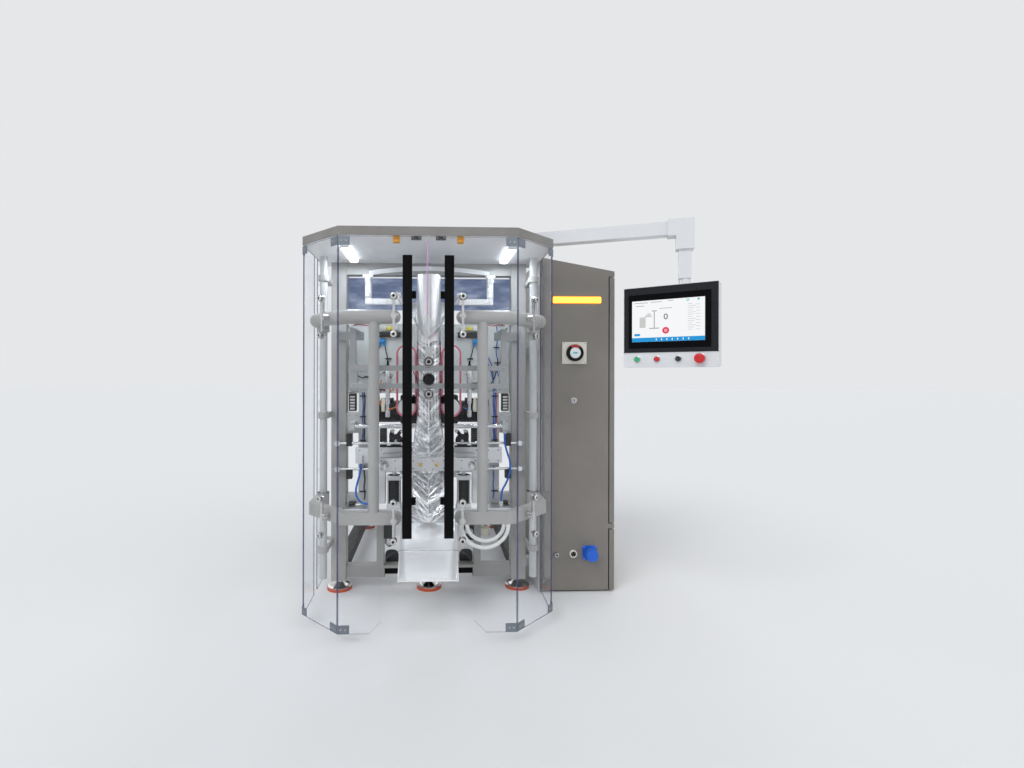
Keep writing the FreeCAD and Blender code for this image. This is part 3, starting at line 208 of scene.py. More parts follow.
def dimple(made, height, depth, strength=0.3, bevel=0.0):
    """Bump by a height that stands for depth metres, over rounded edges of radius bevel."""
    tree = made.node_tree
    bump = tree.nodes.new("ShaderNodeBump")
    bump.inputs["Strength"].default_value = strength
    bump.inputs["Distance"].default_value = depth
    tree.links.new(height, bump.inputs["Height"])
    if bevel:
        rounding = tree.nodes.new("ShaderNodeBevel")
        rounding.samples = 4
        rounding.inputs["Radius"].default_value = bevel
        tree.links.new(rounding.outputs["Normal"], bump.inputs["Normal"])
    tree.links.new(bump.outputs["Normal"], shader_of(made).inputs["Normal"])


def moulded(name, colour, roughness=0.4, grain=600.0, fade=0.12, gloss=0.5):
    """Moulded plastic or rubber: a fine matt grain, faint patches and a little wear on its gloss."""
    made = new_finish(name, colour, roughness, Specular_IOR_Level=gloss)
    where = place_on_piece(made)
    patch = spread(made, cloud(made, where, 14.0, 3.0), 0.35, 0.7, 0.0, 1.0)
    darker = tuple(c * (1 - fade) for c in colour)
    paler = tuple(c + (min(0.5, 3 * c + 0.01) - c) * fade * 0.4 for c in colour)
    set_socket(made, "Base Color", blended(made, patch, darker, paler))
    worn = spread(made, cloud(made, where, 60.0), 0.3, 0.7, roughness - 0.05, roughness + 0.1)
    set_socket(made, "Roughness", worn)
    dimple(made, cloud(made, where, grain, 2.0), 0.0003, 0.2, 0.0006)
    return made


def put_in(piece, body, *finishes):
    """Link a piece, give it its finishes and let it ride on a body."""
    scene.collection.objects.link(piece)
    for finish in finishes:
        piece.data.materials.append(finish)
    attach(piece, body)
    return piece


def flexible(name, points, thickness, finish):
    """A smooth line with a round section; points in metres are the control points of its spline."""
    line = bpy.data.curves.new(name, "CURVE")
    line.dimensions = "3D"
    spline = line.splines.new("NURBS")
    spline.points.add(len(points) - 1)
    spline.points.foreach_set("co", [number for point in points for number in (*point, 1)])
    spline.order_u = 3
    spline.use_endpoint_u = True
    line.resolution_u = 12
    line.bevel_depth = thickness / 2
    line.bevel_resolution = 4
    line.use_fill_caps = True
    return put_in(bpy.data.objects.new(name, line), "machine", finish)


hose_white = moulded("hose_white", (0.93, 0.93, 0.92), 0.38, 300.0, 0.03)
tube_blue = moulded("tube_blue", (0.02, 0.13, 0.55), 0.25, 900.0, 0.1)
for node, finish, thickness, depth, length, route in (
    ("white_hose_front", hose_white, 0.020, -0.127, 0.409,
     ((160, 378), (160, 329), (187, 275), (240, 244), (302, 241), (357, 269), (396, 322), (396, 378))),
    ("white_hose_back", hose_white, 0.020, -0.104, 0.330,
     ((188, 378), (188, 336), (212, 294), (256, 270), (306, 268), (350, 290), (377, 333), (377, 378))),
    ("blue_tube_left", tube_blue, 0.010, -0.090, 0.254,
     ((-340, 655), (-340, 609), (-356, 560), (-366, 511), (-351, 471), (-323, 452), (-290, 452))),
    ("blue_tube_right", tube_blue, 0.010, -0.090, 0.352,
     ((379, 803), (379, 755), (393, 706), (410, 656), (407, 602), (388, 553), (362, 511), (362, 464))),
):
    line = flexible(node + "_run", [(x / 1000, depth, z / 1000) for x, z in route], thickness, finish)
    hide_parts(node)


# Frame, door frames and brackets: welded square and round steel tube, powder coated in a warm grey
# with the fine dimples of that coating. The roof canopy's coat is that grey painted darker, as painted
# shade. The low rails behind the front one, and the recess in it, are painted almost black, as painted
# shade where light doesn't reach.
def powder_coat(name, colour, roughness=0.42, dust=0.08, orange_peel=700.0):
    """Powder coated sheet or tube: fine dimples, faint patches of lighter dust."""
    made = new_finish(name, colour, roughness)
    where = place_on_piece(made)
    patch = spread(made, cloud(made, where, 5.0, 4.0, 0.6), 0.35, 0.7, 0.0, 1.0)
    pale = tuple(c * (1 - dust) + dust * 0.75 for c in colour)
    dark = tuple(c * (1 - 0.9 * dust) for c in colour)
    set_socket(made, "Base Color", blended(made, patch, dark, pale))
    worn = spread(made, cloud(made, where, 40.0), 0.3, 0.7, roughness - 0.06, roughness + 0.1)
    set_socket(made, "Roughness", worn)
    dimple(made, cloud(made, where, orange_peel, 2.0), 0.0004, 0.25, 0.0012)
    return made


def wear(finish, *names):
    """Give a finish to CAD nodes."""
    for name in names:
        mesh = nodes[name].data
        mesh.materials.clear()
        mesh.materials.append(finish)


def repaint(made, colour, where_not_zero):
    """Another colour over a finish where a mask is 1."""
    link = shader_of(made).inputs["Base Color"].links[0]
    set_socket(made, "Base Color", blended(made, where_not_zero, link.from_socket, colour))


frame_coat = powder_coat("frame_coat", (0.375, 0.370, 0.360))
wear(frame_coat, "frame_legs", "upper_rails", "left_door_frame", "right_door_frame", "post_brackets")
# the roof canopy: the frame's warm grey painted darker, as painted shade
roof_shaded_coat = powder_coat("roof_shaded_coat", (0.215, 0.207, 0.197))
wear(roof_shaded_coat, "roof_canopy")
base_coat = powder_coat("base_coat", (0.32, 0.315, 0.305))
RAIL_BACK, RECESS_HALF_WIDTH, RECESS_BACK, RAIL_TOP = 0.0385, 0.2253, 0.0185, 0.1103
base_at = axes_of(base_coat, place_on_piece(base_coat))
in_recess = calc(base_coat, "LESS_THAN", calc(base_coat, "ABSOLUTE", base_at[0]), RECESS_HALF_WIDTH)
for part, limit in ((base_at[1], RECESS_BACK), (base_at[2], RAIL_TOP)):
    in_recess = calc(base_coat, "MULTIPLY", in_recess, calc(base_coat, "LESS_THAN", part, limit))
# mask of the low rails behind the front one and of the front rail's recess: painted shade
shaded_behind_front = calc(base_coat, "MAXIMUM", calc(base_coat, "GREATER_THAN", base_at[1], RAIL_BACK), in_recess)
# paint them almost black and nearly without gloss: painted shade, not the rails' own colour
repaint(base_coat, (0.008, 0.008, 0.008), shaded_behind_front)
set_socket(base_coat, "Specular IOR Level", spread(base_coat, shaded_behind_front, 0, 1, 0.5, 0.08))
wear(base_coat, "bottom_rails")
pale_coat = powder_coat("pale_coat", (0.50, 0.515, 0.52), 0.4)
wear(pale_coat, "hinge_posts", "guide_columns", "unwind_plates", "right_side_panel")
plate_coat = powder_coat("plate_coat", (0.60, 0.635, 0.62), 0.38)
wear(plate_coat, "back_plate")
white_coat = powder_coat("white_coat", (0.86, 0.865, 0.87), 0.5, 0.04)
wear(white_coat, "ceiling_panel")


# Levelling feet: a chromed dome with a threaded stem, standing on an orange red rubber ring.
# Under the middle of the front rail the stem is longer, and its thread shows.
MM = 0.001
UP = (0, 0, 1)


def skin(grid, round_columns=True, round_rows=False, ends=True):
    """Points and faces over a grid of points [row, column]: each cell is one face, the columns go round
    when round_columns is true, and the first and the last row are each closed by one flat face."""
    rows, columns = grid.shape[:2]
    number = np.arange(rows * columns).reshape(rows, columns)
    here = number if round_rows else number[:-1]
    onward = np.roll(number, -1, 0) if round_rows else number[1:]
    if round_columns:
        beside, beyond = np.roll(here, -1, 1), np.roll(onward, -1, 1)
    else:
        here, beside = here[:, :-1], here[:, 1:]
        onward, beyond = onward[:, :-1], onward[:, 1:]
    faces = [np.stack([here, beside, beyond, onward], -1).reshape(-1, 4)]
    if ends and round_columns and not round_rows:
        faces += [number[:1, ::-1], number[-1:]]
    return grid.reshape(-1, 3), faces


def sideways(along):
    """Two directions square to a line and to each other."""
    along = np.array(along, float) / np.linalg.norm(along)
    other = np.array((0, 0, 1.0)) if abs(along[2]) < 0.9 else np.array((1.0, 0, 0))
    first = np.cross(other, along)
    first /= np.linalg.norm(first)
    return along, first, np.cross(along, first)


def turned(start, along, profile, sides=32, flutes=0, depth=0.0):
    """A turned piece. Round the line from start along a direction, the point of a profile row (distance,
    radius) is start + distance x direction + radius x (cos a, sin a) in the two directions square to it.
    With flutes the radius is made depth smaller or larger by the cosine of flutes x a."""
    along, first, second = sideways(along)
    profile = np.array(profile, float)
    a = np.arange(sides) * 2 * np.pi / sides
    ring = np.cos(a)[:, None] * first + np.sin(a)[:, None] * second
    wave = 1 + depth * np.cos(flutes * a) if flutes else np.ones(sides)
    grid = (np.array(start, float) + profile[:, 0, None, None] * along
            + profile[:, 1, None, None] * wave[None, :, None] * ring[None])
    return skin(grid)


def repeated(part, places):
    """The same shape at each place: its points plus that place, one copy after another."""
    points, faces = part
    places = np.array(places, float)
    many = (points[None] + places[:, None]).reshape(-1, 3)
    step = (np.arange(len(places)) * len(points))[:, None, None]
    return many, [(flat[None] + step).reshape(-1, flat.shape[1]) for flat in faces]


def new_piece(name, body, *layers, smooth=38):
    """One object out of layers (finish, part, part ...), parts in millimetres. Faces are turned outwards,
    and are smooth where they meet at less than smooth degrees."""
    points, faces, slots, first = [], [], [], 0
    for slot, (finish, *parts) in enumerate(layers):
        for part_points, part_faces in parts:
            points.append(part_points)
            for flat in part_faces:
                faces += (flat + first).tolist()
                slots.append(np.full(len(flat), slot))
            first += len(part_points)
    mesh = bpy.data.meshes.new(name)
    mesh.from_pydata((np.concatenate(points) * MM).tolist(), [], faces)
    mesh.polygons.foreach_set("material_index", np.concatenate(slots).astype(np.int32))
    shell = bmesh.new()
    shell.from_mesh(mesh)
    bmesh.ops.recalc_face_normals(shell, faces=shell.faces)
    shell.to_mesh(mesh)
    shell.free()
    mesh.shade_smooth()
    mesh.set_sharp_from_angle(angle=math.radians(smooth))
    return put_in(bpy.data.objects.new(name, mesh), body, *[layer[0] for layer in layers])


def thread(start, along, length, radius, pitch, depth, sides=24):
    """A threaded bar, its ridges drawn as rings: the radius is a triangle wave of the distance."""
    count = int(length / pitch) * 2
    at = np.linspace(0, length, count + 1)
    wave = np.where(np.arange(count + 1) % 2, radius, radius - depth)
    return turned(start, along, np.stack([at, wave], 1), sides)


def bare_metal(name, colour, roughness, grain=(60, 60, 2500), depth=0.00006, bevel=0.0008):
    """Metal with a fine grain: grain gives the noise scale on each axis."""
    made = new_finish(name, colour, roughness, 1.0)
    where = place_on_piece(made, grain)
    lines = cloud(made, where, 1.0, 3.0, 0.6)
    worn = spread(made, lines, 0.3, 0.7, max(0.05, roughness - 0.08), roughness + 0.1)
    set_socket(made, "Roughness", worn)
    patch = spread(made, cloud(made, place_on_piece(made), 9.0, 3.0), 0.35, 0.7, 0.0, 1.0)
    set_socket(made, "Base Color", blended(made, patch, tuple(c * 0.88 for c in colour), colour))
    dimple(made, lines, depth, 0.25, bevel)
    return made


chrome = bare_metal("chrome", (0.62, 0.60, 0.59), 0.10, (80, 80, 80), 0.00002)
wear(chrome, "levelling_feet")
pad_rubber = moulded("pad_rubber", (0.56, 0.085, 0.035), 0.6, 500.0, 0.1)
wear(pad_rubber, "foot_pads")
black_steel = bare_metal("black_steel", (0.05, 0.05, 0.052), 0.35, (200, 200, 200))
FEET = ((-458, 0), (458, 0), (-458, 1105), (458, 1105), (0, 0))
DOME_RING = ((0, 60.5), (1.2, 60.9), (2.2, 60.5), (3, 59))
PAD_RIB = ((0, 62), (1.5, 62.8), (9, 62.8), (10.5, 62))
LOCK_NUT = ((0, 16), (1, 17.2), (12, 17.2), (13, 16))
rings = [turned((x, y, 15), UP, DOME_RING, 48) for x, y in FEET]
ribs = [turned((x, y, 2), UP, PAD_RIB, 48) for x, y in FEET]
new_piece("foot_trim", "machine", (chrome, *rings), (pad_rubber, *ribs))
short_stems = [thread((x, y, 33), UP, 5.2, 10.4, 2.0, 0.9) for x, y in FEET[:4]]
long_stem = thread((0, 0, 33), UP, 65, 10.6, 2.5, 1.0)
lock_nut = turned((0, 0, 84), UP, LOCK_NUT, 6)
new_piece("foot_threads", "machine", (black_steel, *short_stems, long_stem, lock_nut))


# Roof canopy: one folded sheet, screwed down along its back. Under it a white ceiling with two lamps
# in frosted covers, and the door switches in orange yellow plastic beside their dark latch plates.
SIDES = (-1, 1)
FORWARD = (0, -1, 0)


def screw_heads(places, along, radius=5.0, height=3.5, sides=16):
    """Cap screw heads on a face: a turned head with a hollow in its middle, one at each place."""
    hollow = ((0, radius), (height * 0.7, radius), (height, radius * 0.86), (height, radius * 0.5),
              (height * 0.35, radius * 0.46))
    return repeated(turned((0, 0, 0), along, hollow, sides), places)


def bar(low, high, axis=1, corner=2.0, ease=0.6, steps=3):
    """A flat bar between two corners. Its outline square to an axis has corners of a radius: a point is
    the centre of a corner plus the radius times its direction, and less by ease at both ends."""
    low, high = np.minimum(low, high).astype(float), np.maximum(low, high).astype(float)
    one, two = [k for k in range(3) if k != axis]
    half = (high - low) / 2
    middle = (high + low) / 2
    corner = min(corner, half[one] * 0.98, half[two] * 0.98)
    ease = min(ease, corner * 0.9)
    a = (np.arange(4)[:, None] * 90 + np.linspace(0, 90, steps + 1)[None]).ravel() * np.pi / 180
    sign = np.repeat(np.array([(1, 1), (-1, 1), (-1, -1), (1, -1)]), steps + 1, 0)
    rows = np.array(((-half[axis], ease), (ease - half[axis], 0), (half[axis] - ease, 0), (half[axis], ease)))
    grid = np.zeros((4, len(a), 3))
    grid[..., one] = sign[:, 0] * (half[one] - corner) + (corner - rows[:, 1:]) * np.cos(a)
    grid[..., two] = sign[:, 1] * (half[two] - corner) + (corner - rows[:, 1:]) * np.sin(a)
    grid[..., axis] = rows[:, :1]
    return skin(grid + middle)


switch_orange = moulded("switch_orange", (0.80, 0.36, 0.02), 0.4)
wear(switch_orange, "door_switches")
dark_plate = powder_coat("dark_plate", (0.045, 0.045, 0.05), 0.4, 0.03)
steel_screw = bare_metal("steel_screw", (0.55, 0.55, 0.56), 0.25, (400, 400, 400), 0.00002)
latches = [bar((s * 29.6, -572.4, 1652.6), (s * 71.4, -551.6, 1665.1), 2, 3) for s in SIDES]
latch_pins = screw_heads([(s * x, -572.4, 1659) for s in SIDES for x in (37, 64)], FORWARD, 3.2, 2.0)
noses = [bar((s * x0, -577, z0), (s * x1, -571.8, z1), 1, 2) for s in SIDES
         for x0, x1, z0, z1 in ((119.5, 144.5, 1653, 1664), (123, 134, 1641, 1651))]
new_piece("latch_plates", "machine", (dark_plate, *latches), (steel_screw, latch_pins),
          (switch_orange, *noses))
LAMP_X, LAMP_HALF = 369, 20
lamp_glow = new_finish("lamp_glow", (0.80, 0.82, 0.86), 0.4, Emission_Color=(0.86, 0.93, 1.0, 1))
across_lamp = calc(lamp_glow, "ABSOLUTE", axes_of(lamp_glow, place_on_piece(lamp_glow))[0])
off_middle = calc(lamp_glow, "ABSOLUTE", calc(lamp_glow, "SUBTRACT", across_lamp, LAMP_X * MM))
set_socket(lamp_glow, "Emission Strength", spread(lamp_glow, off_middle, 0.008, 0.016, 75.0, 5.0))
wear(lamp_glow, "ceiling_lamps")
lamp_ends = [bar((s * (LAMP_X - LAMP_HALF), y, 1650.4), (s * (LAMP_X + LAMP_HALF), y + 9, 1665), 1, 4)
             for s in SIDES for y in (-415, -118)]
new_piece("lamp_ends", "machine", (white_coat, *lamp_ends))
TUBE_Y, ROOF_TOP = -250, 1700
liner = turned((0, TUBE_Y, 1665), UP, ((0.2, 87.9), (0.2, 86.4), (49, 86.4), (49, 87.9)), 72)
new_piece("feed_liner", "machine", (white_coat, liner))
back_screws = screw_heads([(x, 60, 1682) for x in range(-500, 501, 125)], (0, 1, 0), 6, 3.5)
circle = [(112 * math.cos(a), TUBE_Y + 112 * math.sin(a), ROOF_TOP) for a in np.arange(6) * math.pi / 3]
new_piece("roof_screws", "machine", (steel_screw, back_screws, screw_heads(circle, UP, 5, 3)))


# Guard panes: clear 5 mm sheet with polished edges that look dark blue and violet. The window behind
# the forming set is the same sheet in blue, with pale cloudy patches painted on as reflections.
def clear_sheet(name, tint=(0.990, 0.994, 1.0), edge=(0.035, 0.04, 0.13), pale=(0.66, 0.71, 0.80),
                blue=(0.37, 0.42, 0.545)):
    """Clear sheet: its faces let light through and mirror a little on the side that light comes from,
    and its edges are dark. A point is on an edge where its normal isn't the one of the pane it is in: the
    front panes, the side panes, the slanted panes between them, or the window behind."""
    made = new_finish(name, edge, 0.08)
    tree = made.node_tree
    where = tree.nodes.new("ShaderNodeTexCoord")
    at = axes_of(made, where.outputs["Object"])
    facing = axes_of(made, where.outputs["Normal"])
    size_x = calc(made, "ABSOLUTE", facing[0])
    size_y = calc(made, "ABSOLUTE", facing[1])
    both = calc(made, "MULTIPLY", calc(made, "ADD", size_x, size_y), 0.7071)
    front = calc(made, "LESS_THAN", at[1], -0.5797)
    side = calc(made, "GREATER_THAN", calc(made, "ABSOLUTE", at[0]), 0.5447)
    behind = calc(made, "MULTIPLY", calc(made, "GREATER_THAN", at[1], 0.03),
                  calc(made, "LESS_THAN", calc(made, "ABSOLUTE", at[0]), 0.5))
    flat_y = calc(made, "MAXIMUM", front, behind)
    not_y = calc(made, "SUBTRACT", 1.0, flat_y)
    corner = calc(made, "MULTIPLY", not_y, calc(made, "SUBTRACT", 1.0, side))
    face = calc(made, "ADD", calc(made, "MULTIPLY", flat_y, size_y),
                calc(made, "ADD", calc(made, "MULTIPLY", calc(made, "MULTIPLY", side, not_y), size_x),
                     calc(made, "MULTIPLY", corner, both)))
    on_edge = calc(made, "LESS_THAN", face, 0.95)
    see = tree.nodes.new("ShaderNodeBsdfTransparent")
    # the rear window's blue is broken by pale cloudy patches: painted reflections
    reflection_cloud = cloud(made, place_on_piece(made, (1.0, 1.0, 3.0)), 5.0, 5.0, 0.65)
    painted_reflection = spread(made, reflection_cloud, 0.42, 0.68, 0.0, 1.0)
    tree.links.new(blended(made, behind, tint, blended(made, painted_reflection, blue, pale)), see.inputs["Color"])
    gloss = tree.nodes.new("ShaderNodeBsdfGlossy")
    gloss.inputs["Roughness"].default_value = 0.02
    gloss.inputs["Color"].default_value = (1, 1, 1, 1)
    grazing = tree.nodes.new("ShaderNodeLayerWeight")
    grazing.inputs["Blend"].default_value = 0.25
    lit_side = tree.nodes.new("ShaderNodeNewGeometry")
    shine = calc(made, "MULTIPLY", calc(made, "MULTIPLY", grazing.outputs["Fresnel"], 0.55),
                 calc(made, "SUBTRACT", 1.0, lit_side.outputs["Backfacing"]))
    sheet = tree.nodes.new("ShaderNodeMixShader")
    tree.links.new(shine, sheet.inputs[0])
    tree.links.new(see.outputs[0], sheet.inputs[1])
    tree.links.new(gloss.outputs[0], sheet.inputs[2])
    rim = tree.nodes.new("ShaderNodeMixShader")
    rim.inputs[0].default_value = 0.75
    tree.links.new(see.outputs[0], rim.inputs[1])
    tree.links.new(shader_of(made).outputs[0], rim.inputs[2])
    whole = tree.nodes.new("ShaderNodeMixShader")
    tree.links.new(on_edge, whole.inputs[0])
    tree.links.new(sheet.outputs[0], whole.inputs[1])
    tree.links.new(rim.outputs[0], whole.inputs[2])
    tree.links.new(whole.outputs[0], tree.nodes["Material Output"].inputs["Surface"])
    return made


guard_sheet = clear_sheet("guard_sheet")
wear(guard_sheet, "left_door_panes", "right_door_panes", "fixed_panes")


# Seam of the doors: a painted glint of the panes' meeting edges, a thin half clear strip with a lilac
# cast in its upper part. It lies along the edge of the left pane, and brushes the right one.
# a half clear lilac strip that stands for the glint of the pane edges: painted highlight
glint_finish = new_finish("glint_finish", (0.70, 0.36, 0.72), 0.3, Alpha=0.5)
dimple(glint_finish, cloud(glint_finish, place_on_piece(glint_finish, (1, 1, 0.1)), 90.0), 0.0004, 0.3)
glint_bar = bar((-6.4, -586.6, 1340), (-1.2, -585.1, 1644), 2, 0.6, 0.3)
new_piece("left_door_glint", "left_door", (glint_finish, glint_bar))


# Glass holders: polished steel buttons outside the pane, each with a dark socket in its middle,
# and a steel link behind that is bolted to the door frame.
holder_steel = bare_metal("holder_steel", (0.66, 0.66, 0.65), 0.22, (300, 300, 300), 0.00003)
wear(holder_steel, "left_door_glass_holders", "right_door_glass_holders")
socket_dark = moulded("socket_dark", (0.012, 0.012, 0.013), 0.5, 900.0, 0.12, 0.2)
BUTTON = ((-0.2, 13.0), (1.6, 12.6), (2.4, 11.4), (2.4, 6.2), (0.4, 5.6))
SOCKET = ((0.2, 5.8), (0.9, 5.8))
DISC = ((0, 15.5), (1.4, 15.5), (1.6, 14.6))
LINK_END = ((-6, 14.5), (0, 14.5), (3, 12), (3, 5.5), (1.5, 5.2))
HOLDER_X, HOLDER_RISE, DOOR_TUBES, DIAGONAL = 141.5, 78, (1340, 496), (458, -493)
SLANT = 0.7071
DOORS = ((-1, "left_door"), (1, "right_door"))
for side, body in DOORS:
    buttons, sockets, discs = [], [], []
    out = np.array((side * SLANT, -SLANT, 0))
    for height in DOOR_TUBES:
        for z in (height - HOLDER_RISE, height + HOLDER_RISE):
            for start, along in (((side * HOLDER_X, -591, z), FORWARD),
                                 (np.array((side * DIAGONAL[0], DIAGONAL[1], z)) + 6 * out, out)):
                buttons.append(turned(start, along, BUTTON, 24))
                sockets.append(turned(start, along, SOCKET, 6))
            discs.append(turned((side * HOLDER_X, -570, z), (0, 1, 0), DISC, 24))
        buttons.append(turned((side * HOLDER_X, -544, height), FORWARD, LINK_END, 24))
    new_piece(body + "_holder_buttons", body, (holder_steel, *buttons), (socket_dark, *sockets, *discs))


# Corner brackets: folded zinc plate over the joints of the panes, two dark screws in each leg.
# They stand a little off the panes' edges at the top and at the bottom.
zinc_plate = bare_metal("zinc_plate", (0.24, 0.27, 0.31), 0.38, (200, 200, 200))
wear(zinc_plate, "left_door_corner_brackets", "right_door_corner_brackets")
SHEET = 3.3
for side, body in DOORS:
    out = np.array((side * SLANT, -SLANT, 0))
    step = np.array((side * SLANT, SLANT, 0))
    heads = []
    for z in (64, 1640):
        front_corner = np.array((side * 366, -585, z)) + SHEET * out
        side_corner = np.array((side * 550, -401, z)) + SHEET * out
        for places, along in (([(side * x, -588.3, z) for x in (334, 352)], FORWARD),
                              ([front_corner + step * d for d in (16, 34)], out),
                              ([side_corner - step * 20], out),
                              ([(side * 553.3, -381, z)], (side, 0, 0))):
            heads.append(screw_heads(places, along, 3.8, 2.2))
    new_piece(body + "_bracket_screws", body, (steel_screw, *heads))


# Long door handles: black anodised extrusions with a shallow groove on each edge, on three blocks.
# Each end is closed by a black cap, and two screws hold each block.
handle_black = moulded("handle_black", (0.002, 0.002, 0.0025), 0.5, 900.0, 0.02, 0.08)
wear(handle_black, "left_door_handle", "right_door_handle")
for side, body in DOORS:
    caps = [bar((side * 65.2, -617.6, z), (side * 103.8, -596.9, z + 3), 2, 4, 0.8) for z in (438.4, 1574.6)]
    new_piece(body + "_handle_caps", body, (handle_black, *caps))


# Hinges: each guard door turns on a round post in two welded sleeves, with a bearing ring at each
# end. The posts are clamped in three brackets that are screwed to the legs.
HINGE_X, HINGE_Y = 508, -166
BEARING_RING = ((0, 28.05), (0.6, 29.2), (3.4, 29.2), (4, 28.05))
clamps = [(side * x, -174, z) for side in SIDES for z in (255, 900, 1560) for x in (HINGE_X - 6, HINGE_X + 6)]
new_piece("post_clamp_screws", "machine", (steel_screw, screw_heads(clamps, FORWARD, 4.2, 3)))
for side, body in DOORS:
    rings = [turned((side * HINGE_X, HINGE_Y, z), UP, BEARING_RING, 40) for z in (1302, 1374, 462, 526)]
    new_piece(body + "_sleeve_rings", body, (steel_screw, *rings))


# Back plate and rear window: cap screws hold both. Blue air tubes and insulated wires lie on the
# plate and on the columns, and small black clips hold them along their whole way.
PLATE_FRONT = 38
wire_black = moulded("wire_black", (0.012, 0.012, 0.013), 0.4, 900.0)
wire_orange = moulded("wire_orange", (0.82, 0.20, 0.02), 0.4, 900.0)
wire_red = moulded("wire_red", (0.60, 0.04, 0.06), 0.4, 900.0)
wire_pale = moulded("wire_pale", (0.70, 0.70, 0.66), 0.4, 900.0)
window_places = [(x, PLATE_FRONT, z) for x in (-430, 430) for z in (1450, 1516, 1583)]
plate_places = [(x, PLATE_FRONT, z) for x in (-404, 404) for z in (1040, 1200, 1340)]
new_piece("plate_screws", "machine",
          (steel_screw, screw_heads(window_places, FORWARD, 5, 3), screw_heads(plate_places, FORWARD, 6, 4)))


def clipped_wire(name, path, thickness, finish):
    """A thin wire held by clips along its whole path; points in millimetres."""
    flexible(name, [(x * MM, y * MM, z * MM) for x, y, z in path], thickness * MM, finish)


LOOM = (
    (tube_blue, 5, ((-256, 1262), (-262, 1222), (-290, 1160), (-276, 1080), (-262, 1004))),
    (wire_black, 5, ((-234, 1262), (-228, 1222), (-216, 1180), (-218, 1130), (-210, 1082), (-205, 1004))),
    (tube_blue, 5, ((-290, 1262), (-300, 1210), (-300, 1160), (-286, 1090), (-252, 1004))),
    (tube_blue, 5, ((256, 1262), (266, 1222), (300, 1170), (330, 1110), (344, 1004))),
    (wire_black, 5, ((234, 1262), (228, 1222), (214, 1180), (206, 1130), (212, 1004))),
    (tube_blue, 5, ((280, 1262), (290, 1222), (318, 1172), (338, 1120), (334, 1004))),
    (wire_black, 6, ((196, 1010), (236, 1030), (280, 1022), (322, 1042), (352, 1100), (360, 1180))),
    (tube_blue, 4, ((200, 1020), (236, 1042), (276, 1034), (318, 1052), (350, 1022), (356, 1004))),
    (wire_orange, 6, ((-250, 1070), (-256, 1036), (-240, 1012), (-206, 1010), (-186, 1022))),
    (wire_orange, 5, ((196, 1044), (226, 1056), (262, 1046), (290, 1060))),
    (wire_pale, 5, ((-190, 1096), (-226, 1110), (-268, 1102), (-300, 1118), (-352, 1110), (-384, 1140))),
    (wire_red, 4, ((-396, 1352), (-366, 1364), (-330, 1350), (-300, 1362), (-264, 1342))),
    (wire_red, 4, ((396, 1352), (366, 1364), (330, 1350), (300, 1362), (264, 1342))),
    (tube_blue, 5, ((352, 1352), (362, 1290), (346, 1220), (366, 1150), (352, 1100), (384, 1060))),
    (wire_black, 6, ((-384, 1100), (-350, 1074), (-322, 1090), (-296, 1050), (-300, 1006))),
)
for number, (finish, thickness, path) in enumerate(LOOM):
    on_plate = [(x, PLATE_FRONT - thickness / 2, z) for x, z in path]
    clipped_wire("loom_%d" % number, on_plate, thickness, finish)
MOTOR_LEAD = ((-262, 43, 1002), (-264, 43, 956), (-240, 43, 920), (-206, 43, 912), (-176, 43, 926))
clipped_wire("motor_lead_left", MOTOR_LEAD, 6, wire_orange)
clipped_wire("motor_lead_right", [(-x, y, z) for x, y, z in MOTOR_LEAD], 5, tube_blue)
COLUMN_FRONT = -29.7
COLUMN_WIRES = (
    (tube_blue, 6, 330, 744, 1006), (tube_blue, 5, 338, 744, 1006), (wire_red, 4, 345, 744, 1006),
    (wire_black, 6, -328, 744, 1006), (tube_blue, 5, -337, 744, 1006),
    (tube_blue, 6, 330, 462, 632), (wire_black, 6, -328, 462, 632),
)
steps_up = np.arange(9)
for number, (finish, thickness, x, low, high) in enumerate(COLUMN_WIRES):
    across = x + 2.5 * np.sin(steps_up * 1.7 + number)
    path = [(a, COLUMN_FRONT - thickness / 2, z) for a, z in zip(across, np.linspace(low, high, 9))]
    clipped_wire("column_wire_%d" % number, path, thickness, finish)
column_clips = [bar((s * 320, COLUMN_FRONT - 8, z), (s * 352, COLUMN_FRONT, z + 6), 2, 2)
                for s in SIDES for z in (500, 612, 760, 880, 985)]
motor_clips = [bar((s * x - 4, 38, z - 5), (s * x + 4, 46.2, z + 5), 0, 2)
               for s in SIDES for x, z in ((262, 975), (222, 915))]
new_piece("column_clips", "machine", (wire_black, *column_clips, *motor_clips))
LOOM_CLIPS = (
    (-294, 1190), (-276, 1090), (284, 1206), (332, 1120), (240, 1036), (318, 1048), (-214, 1180),
    (-212, 1082), (-372, 1362), (372, 1362), (352, 1240), (358, 1160), (-244, 1018), (-226, 1108),
    (-322, 1086), (214, 1180), (208, 1100), (244, 1052),
)
clips = [bar((x - 16, 29, z - 3), (x + 16, 38.2, z + 3), 2, 2) for x, z in LOOM_CLIPS]
new_piece("loom_clips", "machine", (wire_black, *clips))


